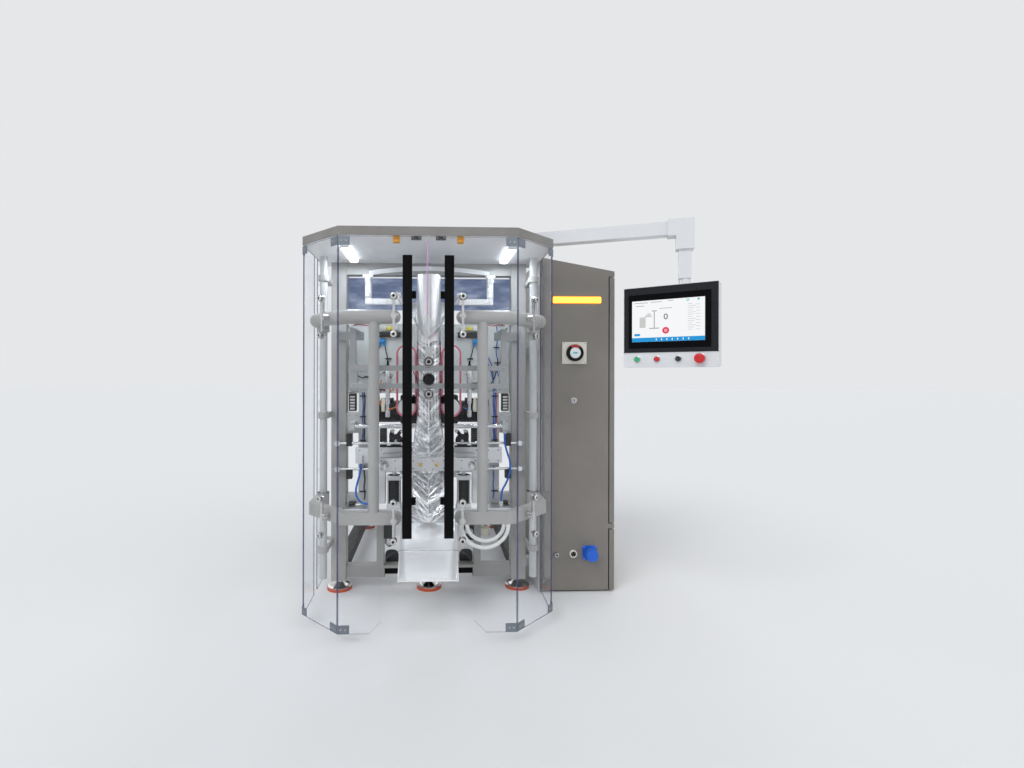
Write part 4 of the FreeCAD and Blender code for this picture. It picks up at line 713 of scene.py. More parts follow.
# Valve islands on the columns, cable chains on the carriage, angle plates beside the cylinders, and a
# pressure regulator and a valve box on the posts beside the chute. Black moulded plastic, plain cast
# aluminium and a steel bowl, all screwed on.
cast_aluminium = bare_metal("cast_aluminium", (0.72, 0.73, 0.74), 0.36, (400, 400, 400))
islands = [bar((s * 374, -6, 910), (s * 412, 28, 1000), 1, 3) for s in SIDES]
ports = [bar((s * 381, -12, z), (s * 405, -6.2, z + 9), 1, 2) for s in SIDES for z in range(918, 990, 15)]
chains = [bar((s * 214, -54, z), (s * 250, -20, z + 9), 2, 3) for s in SIDES for z in range(730, 826, 11)]
angles = [bar((s * x, -134, 464), (s * (x + wide), -134 + deep, 630), 0, 1)
          for s in SIDES for x, wide, deep in ((214, 4, 58), (218.2, 26, 4))]
REGULATOR = (-202, -9)
KNURLED_CAP = ((0, 19), (3, 21), (22, 21), (25, 18))
ROUND_BOWL = ((0, 20), (4, 23), (30, 23), (42, 14), (48, 6))
regulator = bar((-229.6, -34, 262), (-174, 16, 330), 1, 4)
regulator_cap = turned((*REGULATOR, 330), UP, KNURLED_CAP, 48, 16, 0.02)
regulator_bowl = turned((*REGULATOR, 262), (0, 0, -1), ROUND_BOWL, 40)
valve_box = bar((174, -34, 250), (229.6, 16, 326), 1, 4)
valve_coils = [turned((x, -34.2, 300), FORWARD, ((0, 11), (20, 11), (22, 9)), 32) for x in (190, 214)]
new_piece("machine_fittings", "machine",
          (wire_black, *islands, *chains, regulator, regulator_cap, valve_box),
          (wire_pale, *ports), (cast_aluminium, *angles, *valve_coils), (steel_screw, regulator_bowl))


# Terminal strips with blank plates and yellow tags, valves and stops on the columns: moulded plastic
# and thin sheet, clipped or screwed on. Two black sheets behind the front rail are painted shade in the
# dark pocket there. The drive's sleeves and the ribbed bowl of the filter beside the chute are cream.
terminals = [bar((s * 150, 20, 1291), (s * 262, 38.2, 1319), 0, 3) for s in SIDES]
valves = [bar((s * 386, -76, z), (s * 414, -30, z + tall), 2, 3)
          for s in SIDES for z, tall in ((738, 62), (574, 44))]
stops = [bar((s * 372, -76, 428), (s * 402, -36, 456), 1, 5) for s in SIDES]
# two black sheets behind the front rail: painted shade where light doesn't reach
shade_sheets = [bar((s * 158, 30.2, 104), (s * 228, 34, 186), 1, 26) for s in SIDES]
blank_plates = [bar((s * x, 24, 1326), (s * (x + 26), 38.2, 1350), 0, 2) for s in SIDES for x in (164, 226)]
tags = [bar((s * 196, 26, 1328), (s * 220, 38.2, 1347), 0, 2) for s in SIDES]
DRIVE_SLEEVE = ((0, 8), (2, 10), (60, 10), (62, 8), (72, 8))
drive_sleeves = [turned((s * 238, 20, 905), UP, DRIVE_SLEEVE, 24) for s in SIDES]
tag_yellow = moulded("tag_yellow", (0.80, 0.66, 0.06), 0.4, 900.0)
cream = moulded("cream", (0.80, 0.77, 0.62), 0.4, 700.0)
RIB_STEPS = np.arange(0, 52, 4.0)
ribbed = np.stack([RIB_STEPS, np.where(np.arange(len(RIB_STEPS)) % 2, 23.0, 20.5)], 1)
filter_bowl = turned((264, 2, 290), (1, 0, 0), ribbed, 40)
bowl_ends = [turned((x, 2, 290), (1, 0, 0), ((0, 12), (1, 26), (7, 26), (8, 12)), 32) for x in (262, 306)]
new_piece("small_fittings", "machine", (wire_black, *terminals, *valves, *stops, *shade_sheets),
          (wire_pale, *blank_plates), (tag_yellow, *tags), (cream, filter_bowl, *drive_sleeves),
          (steel_screw, *bowl_ends))


# Air elbows under the terminal strips: blue moulded plastic, with a round collar for each tube that
# leaves downwards. They are screwed into the plate.
fitting_blue = moulded("fitting_blue", (0.01, 0.25, 0.62), 0.35, 900.0)
elbows = [bar((s * 228, 24, 1262), (s * 262, 38, 1284), 0, 5) for s in SIDES]
elbows += [turned((s * x, 30, 1262), (0, 0, -1), ((0, 6.5), (14, 6.5), (15, 5.5)), 20)
           for s in SIDES for x in (234, 256)]
new_piece("air_elbows", "machine", (fitting_blue, *elbows))


# Forming tube and shoulder: rolled and polished stainless sheet. The shoulder hangs from two columns
# in white sleeves, under a curved white stay along the top rail.
brushed_sheet = bare_metal("brushed_sheet", (0.88, 0.89, 0.90), 0.30, (1800, 20, 20), 0.00002)
wear(brushed_sheet, "forming_shoulder", "forming_tube")
sleeve_white = moulded("sleeve_white", (0.80, 0.80, 0.80), 0.35, 500.0, 0.06)
column_sleeves = [thread((s * 312, -13, 1490), UP, 104, 19.5, 13.0, 3.0, 40) for s in SIDES]
STAY_HALF, STAY_FOOT, STAY_ARCH, STAY_STEPS = 306, 1613, 25, 61
along = np.linspace(-STAY_HALF, STAY_HALF, STAY_STEPS)
arch = STAY_FOOT + STAY_ARCH * (1 - (along / STAY_HALF) ** 2)
section = np.array(((-37.0, -11.0), (-30.2, -11.0), (-30.2, 11.0), (-37.0, 11.0)))
stay = np.stack([np.broadcast_to(along[:, None], (STAY_STEPS, 4)),
                 np.broadcast_to(section[:, 0], (STAY_STEPS, 4)), arch[:, None] + section[:, 1]], -1)
new_piece("shoulder_sleeves", "machine", (sleeve_white, *column_sleeves), (white_coat, skin(stay)))


# Film: metallised laminate. It lies round the forming tube, is drawn down by the belts and closes to
# a flat strip between the jaws. The finished bag below has creases that run up and out from its seam.
# Its colour is painted darker in the hollows of the creases and paler on their ridges: painted shade.
def tents(across, up, seed, density, lean):
    """Straight creases over film, between 0 and 1: the highest of many tents, each a ridge along a slanted
    line that rises away from the middle. Its place, slope, width and height come from the seed; density is
    their number per millimetre of height, and lean widens the range of their slopes."""
    dice = np.random.default_rng(seed)
    count = int((up.max() - up.min()) * density)
    foot = dice.uniform(up.min() - 60, up.max(), count)
    slope = 0.85 + lean * dice.uniform(-0.45, 0.45, count)
    wide = dice.uniform(5, 15, count)
    tall = dice.uniform(0.35, 1.0, count)
    highest = np.zeros_like(up)
    for k in range(count):
        off = np.abs(up - foot[k] - slope[k] * np.abs(across)) / np.hypot(1, slope[k])
        highest = np.maximum(highest, tall[k] * (1 - off / wide[k]))
    return highest


def foil_body(heights, wide, deep, middle, folds, calm, seed, columns=220):
    """Film as a closed form. At height z its outline is an ellipse with half axes wide(z) and deep(z) round
    the tube's line; folds(z) is the depth of its creases: chevrons that rise away from the seam in the
    middle, broken up by finer ridges, and calm near the sides where calm is 1."""
    a = np.arange(columns) * 2 * np.pi / columns
    half_wide = np.interp(heights, *wide)[:, None]
    half_deep = np.interp(heights, *deep)[:, None]
    depth = np.interp(heights, *folds)[:, None]
    x = half_wide * np.cos(a)
    y = half_deep * np.sin(a)
    z = np.broadcast_to(heights[:, None], x.shape)
    chevrons = np.where(x < 0, tents(x, z, seed, 0.055, 1.0), tents(x, z, seed + 50, 0.055, 1.0))
    crumple = tents(x, z, seed + 100, 0.09, 2.6)
    seam = 0.8 * np.exp(-(x / 3.0) ** 2)
    fold = np.clip(0.75 * chevrons + 0.45 * crumple, 0, 1) * (1 - seam) + seam
    quiet = 1 - calm * np.abs(np.cos(a)) ** 3
    inward = -depth * (1 - fold) * quiet
    grid = np.stack([x * (1 + 0.35 * inward / np.maximum(half_wide, 1)),
                     middle + y + inward * np.sign(np.sin(a)) * np.minimum(1, np.abs(np.sin(a)) * 3), z], -1)
    return grid, fold


def foil_piece(name, grid, fold, finish, node):
    """A closed film form that keeps its fold depth as an attribute for its finish."""
    made = new_piece(name, "machine", (finish, skin(grid)), smooth=50)
    mark = made.data.attributes.new("fold", "FLOAT", "POINT")
    mark.data.foreach_set("value", fold.ravel().astype(np.float32))
    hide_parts(node)
    return made


foil = new_finish("foil", (0.86, 0.87, 0.88), 0.17, 1.0)
fold_mark = foil.node_tree.nodes.new("ShaderNodeAttribute")
fold_mark.attribute_name = "fold"
# darker where the crease is deep, paler on its ridge: painted shade in the creases
hollow = spread(foil, fold_mark.outputs["Fac"], 0.15, 0.75, 0.0, 1.0)
set_socket(foil, "Base Color", blended(foil, hollow, (0.42, 0.43, 0.44), (0.92, 0.93, 0.94)))
set_socket(foil, "Roughness", spread(foil, cloud(foil, place_on_piece(foil), 60.0), 0.3, 0.7, 0.12, 0.30))
dimple(foil, cloud(foil, place_on_piece(foil, (1, 1, 0.6)), 60.0, 2.0, 0.5), 0.003, 0.15)
FILM_WIDE = ((656, 735, 790, 850, 893, 1254), (75, 74.6, 71, 64.3, 57.7, 57.7))
FILM_DEEP = ((656, 722, 734, 790, 850, 893, 1254), (0.9, 0.9, 1.4, 23.4, 44.8, 57.7, 57.7))
FILM_FOLDS = ((656, 722, 760, 850, 893, 930, 1140, 1254), (0, 0, 7, 9, 1.1, 0.9, 0.9, 0.2))
heights = np.concatenate([np.linspace(656, 735, 60), np.linspace(736, 893, 150),
                          np.linspace(895, 1253.7, 240)])
grid, fold = foil_body(heights, FILM_WIDE, FILM_DEEP, TUBE_Y, FILM_FOLDS, 0.9, 3)
foil_piece("film_skin", grid, fold, foil, "film_tube")
BAG_WIDE = ((402, 440, 505, 575, 634, 656), (99.6, 91, 81, 77.4, 74.6, 74.6))
BAG_DEEP = ((402, 440, 505, 575, 634, 656), (0.9, 29, 41, 29, 1.2, 0.9))
BAG_FOLDS = ((402, 408, 440, 600, 630, 642), (0, 3, 13, 11, 2, 0))
heights = np.concatenate([np.linspace(402.2, 640, 250), np.linspace(642, 655.5, 12)])
grid, fold = foil_body(heights, BAG_WIDE, BAG_DEEP, TUBE_Y, BAG_FOLDS, 0.6, 8)
foil_piece("bag_skin", grid, fold, foil, "finished_bag")


# Pull belts: pink red polyurethane over steel cords, with a fine cross rib, on aluminium pulleys
# whose hubs are closed by a disc and one screw. Behind them are the gearboxes and motors.
belt_red = moulded("belt_red", (0.66, 0.15, 0.21), 0.5, 900.0)
belt_height = axes_of(belt_red, place_on_piece(belt_red))[2]
ribbing = calc(belt_red, "PINGPONG", calc(belt_red, "MULTIPLY", belt_height, 250.0), 1.0)
dimple(belt_red, ribbing, 0.0006, 0.5)
wear(belt_red, "pull_belts")
wear(cast_aluminium, "carrier_beams", "front_jaw", "rear_jaw", "belt_pulleys")
rail_aluminium = bare_metal("rail_aluminium", (0.40, 0.41, 0.415), 0.34, (400, 400, 400))
wear(rail_aluminium, "sealer_frame")
HUB = ((0, 36), (3, 36), (4.5, 34.5), (4.5, 15), (9, 13.5), (9, 4))
PULLEYS = [(side * 105.1, z) for side in SIDES for z in (945, 1191)]
hubs = [turned((x, -266, z), FORWARD, HUB, 48) for x, z in PULLEYS]
bolts = [screw_heads([(x, -275, z)], FORWARD, 5.5, 4) for x, z in PULLEYS]
new_piece("belt_hubs", "machine", (cast_aluminium, *hubs), (steel_screw, *bolts))
motor_black = moulded("motor_black", (0.014, 0.014, 0.016), 0.42, 400.0, 0.05, 0.3)
wear(motor_black, "drive_motors")
FIN_STEPS = np.arange(0, 104, 4.0)
FINS = np.stack([FIN_STEPS, np.where(np.arange(len(FIN_STEPS)) % 2, 57.8, 56.1)], 1)
MOTOR_LID = ((0, 54), (3, 52), (4, 46), (4, 10))
fins, boxes = [], []
for side in SIDES:
    fins.append(turned((side * 168, 105, 900), (side, 0, 0), FINS, 48))
    fins.append(turned((side * 299.5, 105, 900), (side, 0, 0), MOTOR_LID, 48))
    boxes.append(bar((side * 190, 62, 950), (side * 255, 130, 972), 2, 6, 2))
    boxes.append(screw_heads([(side * x, y, 972) for x in (196, 249) for y in (68, 124)], UP, 3, 2))
new_piece("motor_fins", "machine", (motor_black, *fins, *boxes))


# Vertical sealer: a steel bar with two hexagon headed bolts and a black knurled knob between them,
# held by two aluminium rails. Round stand-offs join the rails.
sealer_steel = bare_metal("sealer_steel", (0.60, 0.60, 0.61), 0.26, (300, 300, 60))
wear(sealer_steel, "vertical_sealer")
ring_steel = bare_metal("ring_steel", (0.42, 0.41, 0.41), 0.15, (300, 300, 300), 0.00002)
knob_black = moulded("knob_black", (0.006, 0.006, 0.0065), 0.45, 800.0, 0.05, 0.15)
KNOB = ((0, 25), (1.5, 28.6), (30, 28.6), (34.4, 25), (35.6, 9), (34.6, 8.4), (34.6, 0.2))
BOSS = ((-1, 19.1), (0, 26), (3, 26), (5, 24.5), (5, 20), (2.6, 20), (2.6, 16.4), (5.4, 15.6),
        (5.4, 7.5), (1.5, 7))
GROOVE = ((2.7, 19.8), (3.0, 19.8), (3.0, 0.2))
POST = ((0, 11), (2, 12.5), (54, 12.5), (56.6, 11))
LONG_POST = ((0, 8), (3, 10), (30, 10), (31, 6.5), (60, 6.5), (61, 10), (128, 10))
PEG = ((0, 8), (3, 8), (4, 5), (18, 5), (20, 3))
POST_X, POST_Y, BOSS_HEIGHTS = 185, -341, (1010, 1155)
knob = turned((0, -346, 1077), FORWARD, KNOB, 144, 24, 0.028)
rims = [turned((0, -361, z), FORWARD, BOSS, 48) for z in BOSS_HEIGHTS]
grooves = [turned((0, -361, z), FORWARD, GROOVE, 48) for z in BOSS_HEIGHTS]
posts = [turned((s * POST_X, POST_Y, z), UP, form, 32)
         for z, form in ((1058.2, POST), (905, LONG_POST)) for s in SIDES]
pegs = [turned((s * POST_X, POST_Y, 1139), UP, PEG, 20) for s in SIDES]
rail_bolts = [(s * x, -345, z) for s in SIDES for x in (250, 342) for z in (1046, 1127)]
new_piece("sealer_details", "machine", (knob_black, knob, *grooves, *pegs), (ring_steel, *rims),
          (sealer_steel, *posts), (steel_screw, screw_heads(rail_bolts, FORWARD, 5.5, 4)))
SEALER_LEAD = ((-70, -337, 1112), (-62, -350, 1096), (-50, -352, 1060), (-46, -342, 1040), (-44, -336, 1020))
clipped_wire("sealer_lead", SEALER_LEAD, 4, wire_black)


# Sealing jaws: ground aluminium bars on hardened shafts, with a clamp plate, two brass heater
# fittings and four screws. Black toggle levers stand on the carriage behind them.
ground_steel = bare_metal("ground_steel", (0.78, 0.79, 0.80), 0.20, (3, 500, 500))
wear(ground_steel, "cross_rods", "film_rollers")
brass = bare_metal("brass", (0.72, 0.48, 0.16), 0.25, (300, 300, 300), 0.00003)
JAW_FACE, JAW_LEVEL = -340, 690
NUT = ((0, 8), (1, 8.6), (8, 8.6), (9, 7.6))
TIP = ((0, 5.2), (6, 5.2), (8, 3.6))
BUSH = ((0, 17), (2.5, 17), (3.5, 16), (3.5, 10.9), (0.5, 10.8))
nuts = [turned((s * 38, JAW_FACE, JAW_LEVEL), FORWARD, NUT, 6) for s in SIDES]
tips = [turned((s * 38, JAW_FACE - 9, JAW_LEVEL), FORWARD, TIP, 20) for s in SIDES]
bushes = [turned((s * 195, JAW_FACE, JAW_LEVEL), FORWARD, BUSH, 32) for s in SIDES]
jaw_places = [(s * x, JAW_FACE, z) for s in SIDES for x in (70, 150, 213) for z in (672, 708)]
clamp_places = [(s * 18, JAW_FACE - 12, z) for s in SIDES for z in (671, 709)]
jaw_screws = [screw_heads(places, FORWARD, 4.5, 3) for places in (jaw_places, clamp_places)]
new_piece("front_jaw_details", "front_jaw_body", (brass, *nuts, *tips), (steel_screw, *jaw_screws, *bushes))
LEVER_FRONT, LEVER_BACK, LEVER_STEPS = -52.0, -38.0, 25
LEVER_HUB = ((-4, 34), (12, 34), (14, 32), (14, 20), (18, 19), (18, 6))
levers, pins = [], []
for side in SIDES:
    for turn_by in (-0.5, 0.35):
        lift = np.linspace(0, 1, LEVER_STEPS)
        x = side * (165 + 55 * lift * turn_by + 14 * np.sin(lift * np.pi))
        z = 730 + 88 * lift
        half = 15 - 5 * lift
        lever = np.stack([np.stack([x + to * half, np.full(LEVER_STEPS, y), z], 1) for to, y in
                          ((-1, LEVER_FRONT), (1, LEVER_FRONT), (1, LEVER_BACK), (-1, LEVER_BACK))], 1)
        levers.append(skin(lever))
        pins.append(turned((side * (165 + 55 * turn_by), -53, 812), FORWARD, ((0, 9), (5, 9), (6, 8)), 24))
    levers.append(turned((side * 168, -36, 762), FORWARD, LEVER_HUB, 48))
    levers.append(bar((side * 128, -58, 729.8), (side * 212, -34, 738), 1, 3))
    pins.append(turned((side * 168, -54, 762), FORWARD, ((0, 8), (5, 8), (6, 7)), 6))
new_piece("toggle_levers", "machine", (motor_black, *levers), (steel_screw, *pins))
CARRIAGE_SCREWS = (
    (-60, (30, 110, 240, 300, 350), (664, 716), 5, 4),
    (-119, (379,), (828, 854), 4, 3),
    (COLUMN_FRONT, (370, 408), (812, 892, 452, 480), 4.5, 3),
    (-140, (60, 240, 402), (420,), 5, 4),
)
heads = [screw_heads([(s * x, y, z) for s in SIDES for x in across for z in up], FORWARD, radius, height)
         for y, across, up, radius, height in CARRIAGE_SCREWS]
new_piece("carriage_screws", "machine", (steel_screw, *heads))


# Lift cylinders and jaw drive: black anodised barrels with bright end caps, tie rods and piston rods.
# The rods push the carriage up and down.
wear(motor_black, "lift_cylinders")
CYLINDER_X, CYLINDER_Y = 172, -102
ROD_GLAND = ((0, 12), (8, 12), (9, 9), (50, 9))
ends, rods = [], []
for side in SIDES:
    x = side * CYLINDER_X
    for z in (440.2, 578):
        ends.append(bar((x - 35, CYLINDER_Y - 35, z), (x + 35, CYLINDER_Y + 35, z + 22), 2, 5, 1.5))
    ends.append(turned((x, CYLINDER_Y, 600), UP, ROD_GLAND, 32))
    ends.append(turned((side * 150, -139, 470), FORWARD, ((0, 6), (10, 6), (11, 5)), 20))
    rods += [turned((x + dx, CYLINDER_Y + dy, 460), UP, ((0, 3.5), (120, 3.5)), 12)
             for dx in (-28, 28) for dy in (-28, 28)]
new_piece("cylinder_caps", "machine", (cast_aluminium, *ends), (steel_screw, *rods))


# Discharge chute: polished stainless sheet with folded sides, its lip hemmed and its back screwed
# down on the mount beam.
chute_sheet = new_finish("chute_sheet", (0.93, 0.935, 0.945), 0.30, 0.95)
soft_cloud = cloud(chute_sheet, place_on_piece(chute_sheet), 5.0, 1.0)
soft_patch = spread(chute_sheet, soft_cloud, 0.3, 0.7, 0.30, 0.36)
set_socket(chute_sheet, "Roughness", soft_patch)
wear(chute_sheet, "discharge_chute")
hem = bar((-133, -453.6, 203.5), (133, -449, 208.5), 0, 2)
chute_screws = screw_heads([(x, -80, 443) for x in (-100, 0, 100)], UP, 4.5, 2.5)
new_piece("chute_hem", "machine", (chute_sheet, hem), (steel_screw, chute_screws))


# Film reel: silver film wound on a card core, whose layers show as fine rings on its ends.
# Steel collars on the shaft hold the core, and rollers between two plates lead the film forward.
REEL_Y, REEL_Z = 780, 470
reel_film = new_finish("reel_film", (0.80, 0.81, 0.82), 0.22, 0.9)
at = axes_of(reel_film, place_on_piece(reel_film))
off_axis = [calc(reel_film, "SUBTRACT", part, middle * MM)
            for part, middle in ((at[1], REEL_Y), (at[2], REEL_Z))]
squares = [calc(reel_film, "MULTIPLY", off, off) for off in off_axis]
radius = calc(reel_film, "SQRT", calc(reel_film, "ADD", *squares))
layers = calc(reel_film, "PINGPONG", calc(reel_film, "MULTIPLY", radius, 700.0), 1.0)
uneven = cloud(reel_film, place_on_piece(reel_film, (6, 1, 1)), 6.0, 3.0)
set_socket(reel_film, "Base Color", blended(reel_film, uneven, (0.58, 0.59, 0.60), (0.88, 0.89, 0.90)))
dimple(reel_film, layers, 0.0008, 0.4)
wear(reel_film, "film_reel")
card = moulded("card", (0.42, 0.30, 0.19), 0.8, 300.0)
CORE_END = ((0, 52.4), (3, 52.4), (3, 70), (0, 71))
COLLAR = ((0, 20.2), (0, 30), (1.5, 31.5), (16, 31.5), (18, 30), (18, 20.2))
ROLLER_END = ((-14, 24.1), (-13, 26), (-2, 26), (-0.2, 24.1))
ROLLERS = ((980, 900), (980, 1150), (300, 1215), (560, 1215))
cores = [turned((s * 149.9, REEL_Y, REEL_Z), (s, 0, 0), CORE_END, 64) for s in SIDES]
collars = [turned((s * 178, REEL_Y, REEL_Z), (s, 0, 0), COLLAR, 48) for s in SIDES]
new_piece("reel_cores", "machine", (card, *cores), (steel_screw, *collars))
roller_ends = [turned((s * 413.8, y, z), (s, 0, 0), ROLLER_END, 40) for s in SIDES for y, z in ROLLERS]
new_piece("roller_ends", "machine", (motor_black, *roller_ends))
LEG_X, LEG_Y, LEG_HALF = 458, 1105, 37
caps = [bar((s * LEG_X - LEG_HALF, LEG_Y - LEG_HALF, 1250),
            (s * LEG_X + LEG_HALF, LEG_Y + LEG_HALF, 1252.5), 2, 5) for s in SIDES]
new_piece("leg_caps", "machine", (socket_dark, *caps))


# Control cabinet: folded steel sheet, powder coated darker than the frame, with two doors on its right
# side. On its front: an amber lamp bar, a main switch, a lock, two sockets and a blue capped inlet.
cabinet_coat = powder_coat("cabinet_coat", (0.195, 0.180, 0.162), 0.36, 0.03)
wear(cabinet_coat, "cabinet_shell", "cabinet_lower_door", "cabinet_upper_door")
amber_glow = new_finish("amber_glow", (1.0, 0.55, 0.05), 0.4, Emission_Color=(1.0, 0.55, 0.05, 1),
                        Emission_Strength=2.6)
wear(amber_glow, "status_light")
ivory = moulded("ivory", (0.72, 0.69, 0.62), 0.42, 700.0, 0.04)
wear(ivory, "cabinet_fittings")
wear(knob_black, "main_switch")
plug_blue = moulded("plug_blue", (0.008, 0.115, 0.62), 0.32, 700.0, 0.06)
wear(plug_blue, "power_inlet")
switch_red = moulded("switch_red", (0.55, 0.03, 0.03), 0.35, 700.0, 0.04)
# a thin band round the lamp bar that glows orange: painted glow of the lamp on the cabinet, no lamp itself
painted_halo = new_finish("painted_halo", (0.85, 0.25, 0.03), 0.5, Emission_Color=(1.0, 0.30, 0.03, 1),
                      Emission_Strength=0.45)
halo = bar((621, -86.2, 1457), (871, -84.8, 1495), 1, 12, 0.3, 6)
new_piece("lamp_bar_glow", "machine", (painted_halo, halo))


def arc_plate(middle, y, inner, outer, start, stop, thick, steps=48):
    """A flat part of a ring, standing off a wall towards -Y: its points are the middle plus inner or outer
    radius times (cos a, sin a), a from start to stop degrees."""
    a = np.radians(np.linspace(start, stop, steps))
    ring = np.stack([np.cos(a), np.zeros(steps), np.sin(a)], 1)
    low = np.array((middle[0], y, middle[1]))
    high = low - (0, thick, 0)
    grid = np.stack([low + inner * ring, low + outer * ring, high + outer * ring, high + inner * ring], 1)
    return skin(grid, round_rows=stop - start > 359, ends=stop - start < 359)


SWITCH_X, SWITCH_Z = 731.5, 1208
face = arc_plate((SWITCH_X, SWITCH_Z), -111.3, 30, 40.5, 180, 180 + 359.99, 1.6)
mark = arc_plate((SWITCH_X, SWITCH_Z), -113.0, 31, 39.5, 55, 125, 0.5)
dial = turned((SWITCH_X, -111.2, SWITCH_Z), FORWARD, ((0, 27), (0.8, 27), (1.2, 26)), 48)
grip = bar((SWITCH_X - 12, -113.4, SWITCH_Z - 4), (SWITCH_X + 12, -112.2, SWITCH_Z + 4), 1, 3.6, 0.4)
dial_teal = moulded("dial_teal", (0.10, 0.42, 0.50), 0.35, 700.0, 0.04)
dial_white = moulded("dial_white", (0.72, 0.76, 0.78), 0.35, 700.0, 0.04)
new_piece("switch_face", "switch_knob", (knob_black, face), (switch_red, mark), (dial_white, dial),
          (dial_teal, grip))
LOCK_X, LOCK_Z = 731, 968
JACK_X, JACK_Z = 644, 190
OUTLET_X, OUTLET_Z = 728, 195
BARREL = ((-10, 12.4), (-1, 12.4), (1.2, 11.4), (1.2, 7), (0.2, 6.4))
LOCK_RIM = ((0, 16), (2, 16), (3, 14.5), (3, 12.5))
JACK = ((-12, 11.4), (0.5, 11.4), (1.4, 10.6), (1.4, 5.6), (0.4, 5.2))
OUTLET = ((-8, 19.4), (3, 19.4), (5, 18), (5, 13.5), (1, 13))
switch_screws = screw_heads([(x, -93, z) for x in (678, 785) for z in (1161, 1255)], FORWARD, 3.2, 1.6)
barrel = turned((LOCK_X, -95, LOCK_Z), FORWARD, BARREL, 32)
slot = bar((LOCK_X - 1.4, -96.4, LOCK_Z - 5.5), (LOCK_X + 1.4, -95.2, LOCK_Z + 5.5), 1, 1)
lock_rim = turned((LOCK_X, -85, LOCK_Z), FORWARD, LOCK_RIM, 32)
jack = turned((JACK_X, -97, JACK_Z), FORWARD, JACK, 32)
jack_hole = turned((JACK_X, -97, JACK_Z), FORWARD, ((0.5, 5.2), (0.9, 5.0)), 24)
outlet = turned((OUTLET_X, -93, OUTLET_Z), FORWARD, OUTLET, 40)
outlet_hole = turned((OUTLET_X, -93, OUTLET_Z), FORWARD, ((0, 13), (1.5, 12.8)), 40)
pins = [turned((OUTLET_X + 7 * math.cos(a), -94.4, OUTLET_Z + 7 * math.sin(a)), FORWARD,
               ((0, 1.8), (3, 1.6)), 12) for a in (0.5, 2.6, 4.7)]
new_piece("front_fittings", "machine", (steel_screw, switch_screws, barrel, lock_rim, jack, *pins),
          (knob_black, slot, jack_hole, outlet_hole), (ivory, outlet))
LID = ((-43, 30.5), (-40, 31.5), (-16, 31.5), (-14, 29.4), (-4, 29.4), (0, 27), (0.8, 12), (0.8, 3))
lid = turned((812, -141, 199), FORWARD, LID, 64, 16, 0.012)
flange = bar((776, -89.5, 163), (848, -84.9, 235), 1, 6, 1.2)
flange_screws = screw_heads([(x, -89.5, z) for x in (782, 842) for z in (169, 229)], FORWARD, 3, 1.6)
new_piece("inlet_lid", "machine", (plug_blue, lid, flange), (steel_screw, flange_screws))


# Control arm and operator panel: silver painted aluminium section with a cast elbow, a charcoal
# bezel round black glass, and three push buttons and a red stop button on the strip below.
arm_silver = powder_coat("arm_silver", (0.72, 0.735, 0.76), 0.33, 0.03)
wear(arm_silver, "control_arm", "arm_base", "panel_body")
charcoal = moulded("charcoal", (0.011, 0.012, 0.015), 0.30, 900.0, 0.03, 0.22)
wear(charcoal, "panel_bezel")
screen_glass = new_finish("screen_glass", (0.001, 0.0013, 0.002), 0.05, Specular_IOR_Level=0.08)
smear = cloud(screen_glass, place_on_piece(screen_glass), 12.0, 3.0)
set_socket(screen_glass, "Roughness", spread(screen_glass, smear, 0.3, 0.8, 0.04, 0.12))
wear(screen_glass, "panel_screen")
button_red = moulded("button_red", (0.60, 0.012, 0.018), 0.28, 800.0, 0.04)
wear(button_red, "panel_buttons")
button_green = moulded("button_green", (0.02, 0.42, 0.17), 0.28, 800.0, 0.04)
button_dark = moulded("button_dark", (0.03, 0.03, 0.033), 0.28, 800.0, 0.04)
ARM_ROOT, ARM_REACH = (458, -228), 699
ARM_TURN, PANEL_TURN = math.radians(-21.2), math.radians(-38)
PANEL_OFFSET, PANEL_BACK = 50, 55
along = np.array((math.cos(PANEL_TURN), math.sin(PANEL_TURN), 0))
behind = np.array((-along[1], along[0], 0))
tube_at = np.array((ARM_ROOT[0] + ARM_REACH * math.cos(ARM_TURN),
                    ARM_ROOT[1] + ARM_REACH * math.sin(ARM_TURN), 0))
panel_at = tube_at - along * PANEL_OFFSET - behind * PANEL_BACK
GLASS = -4.9


def on_panel(part):
    """A part made in the panel's own plan, x across and y back, turned and moved to the panel."""
    points, faces = part
    return panel_at + points[:, :1] * along + points[:, 1:2] * behind + points[:, 2:] * UP, faces


def tile(x0, x1, z0, z1, lift, corner=0.6):
    """A thin bright tile of the display, lift in front of the black glass."""
    return on_panel(bar((x0, -5 - lift, z0), (x1, GLASS, z1), 1, corner, 0.02, 2))


def lit(name, colour):
    """A colour of the display, which glows."""
    return new_finish(name, tuple(0.02 * c for c in colour), 0.3, Emission_Color=(*colour, 1),
                      Emission_Strength=0.92, Specular_IOR_Level=0.1)


screen_white = lit("screen_white", (0.97, 0.985, 1.0))
screen_blue = lit("screen_blue", (0.02, 0.33, 0.74))
screen_grey = lit("screen_grey", (0.40, 0.40, 0.40))
screen_pale = lit("screen_pale", (0.62, 0.62, 0.60))
screen_dark = lit("screen_dark", (0.09, 0.09, 0.09))
screen_red = lit("screen_red", (0.80, 0.05, 0.12))
screen_teal = lit("screen_teal", (0.05, 0.50, 0.52))
text_rows = [(76, 1398 - 9 * k, 18 + 7 * (k * 5 % 3)) for k in range(13)]
text_rows += [(108, 1394 - 13 * k, 17) for k in range(9)]
lines = [tile(x, x + wide, z, z + 2.2, 0.5, 0.3) for x, z, wide in text_rows]
TITLES = ((-148, -88, 1414), (-76, -30, 1415), (-4, 18, 1417), (-40, 12, 1386), (-140, -104, 1401))
titles = [tile(x0, x1, z, z + 2.6, 0.5, 0.3) for x0, x1, z in TITLES]
a = np.linspace(0, 2 * np.pi, 41)[:-1]
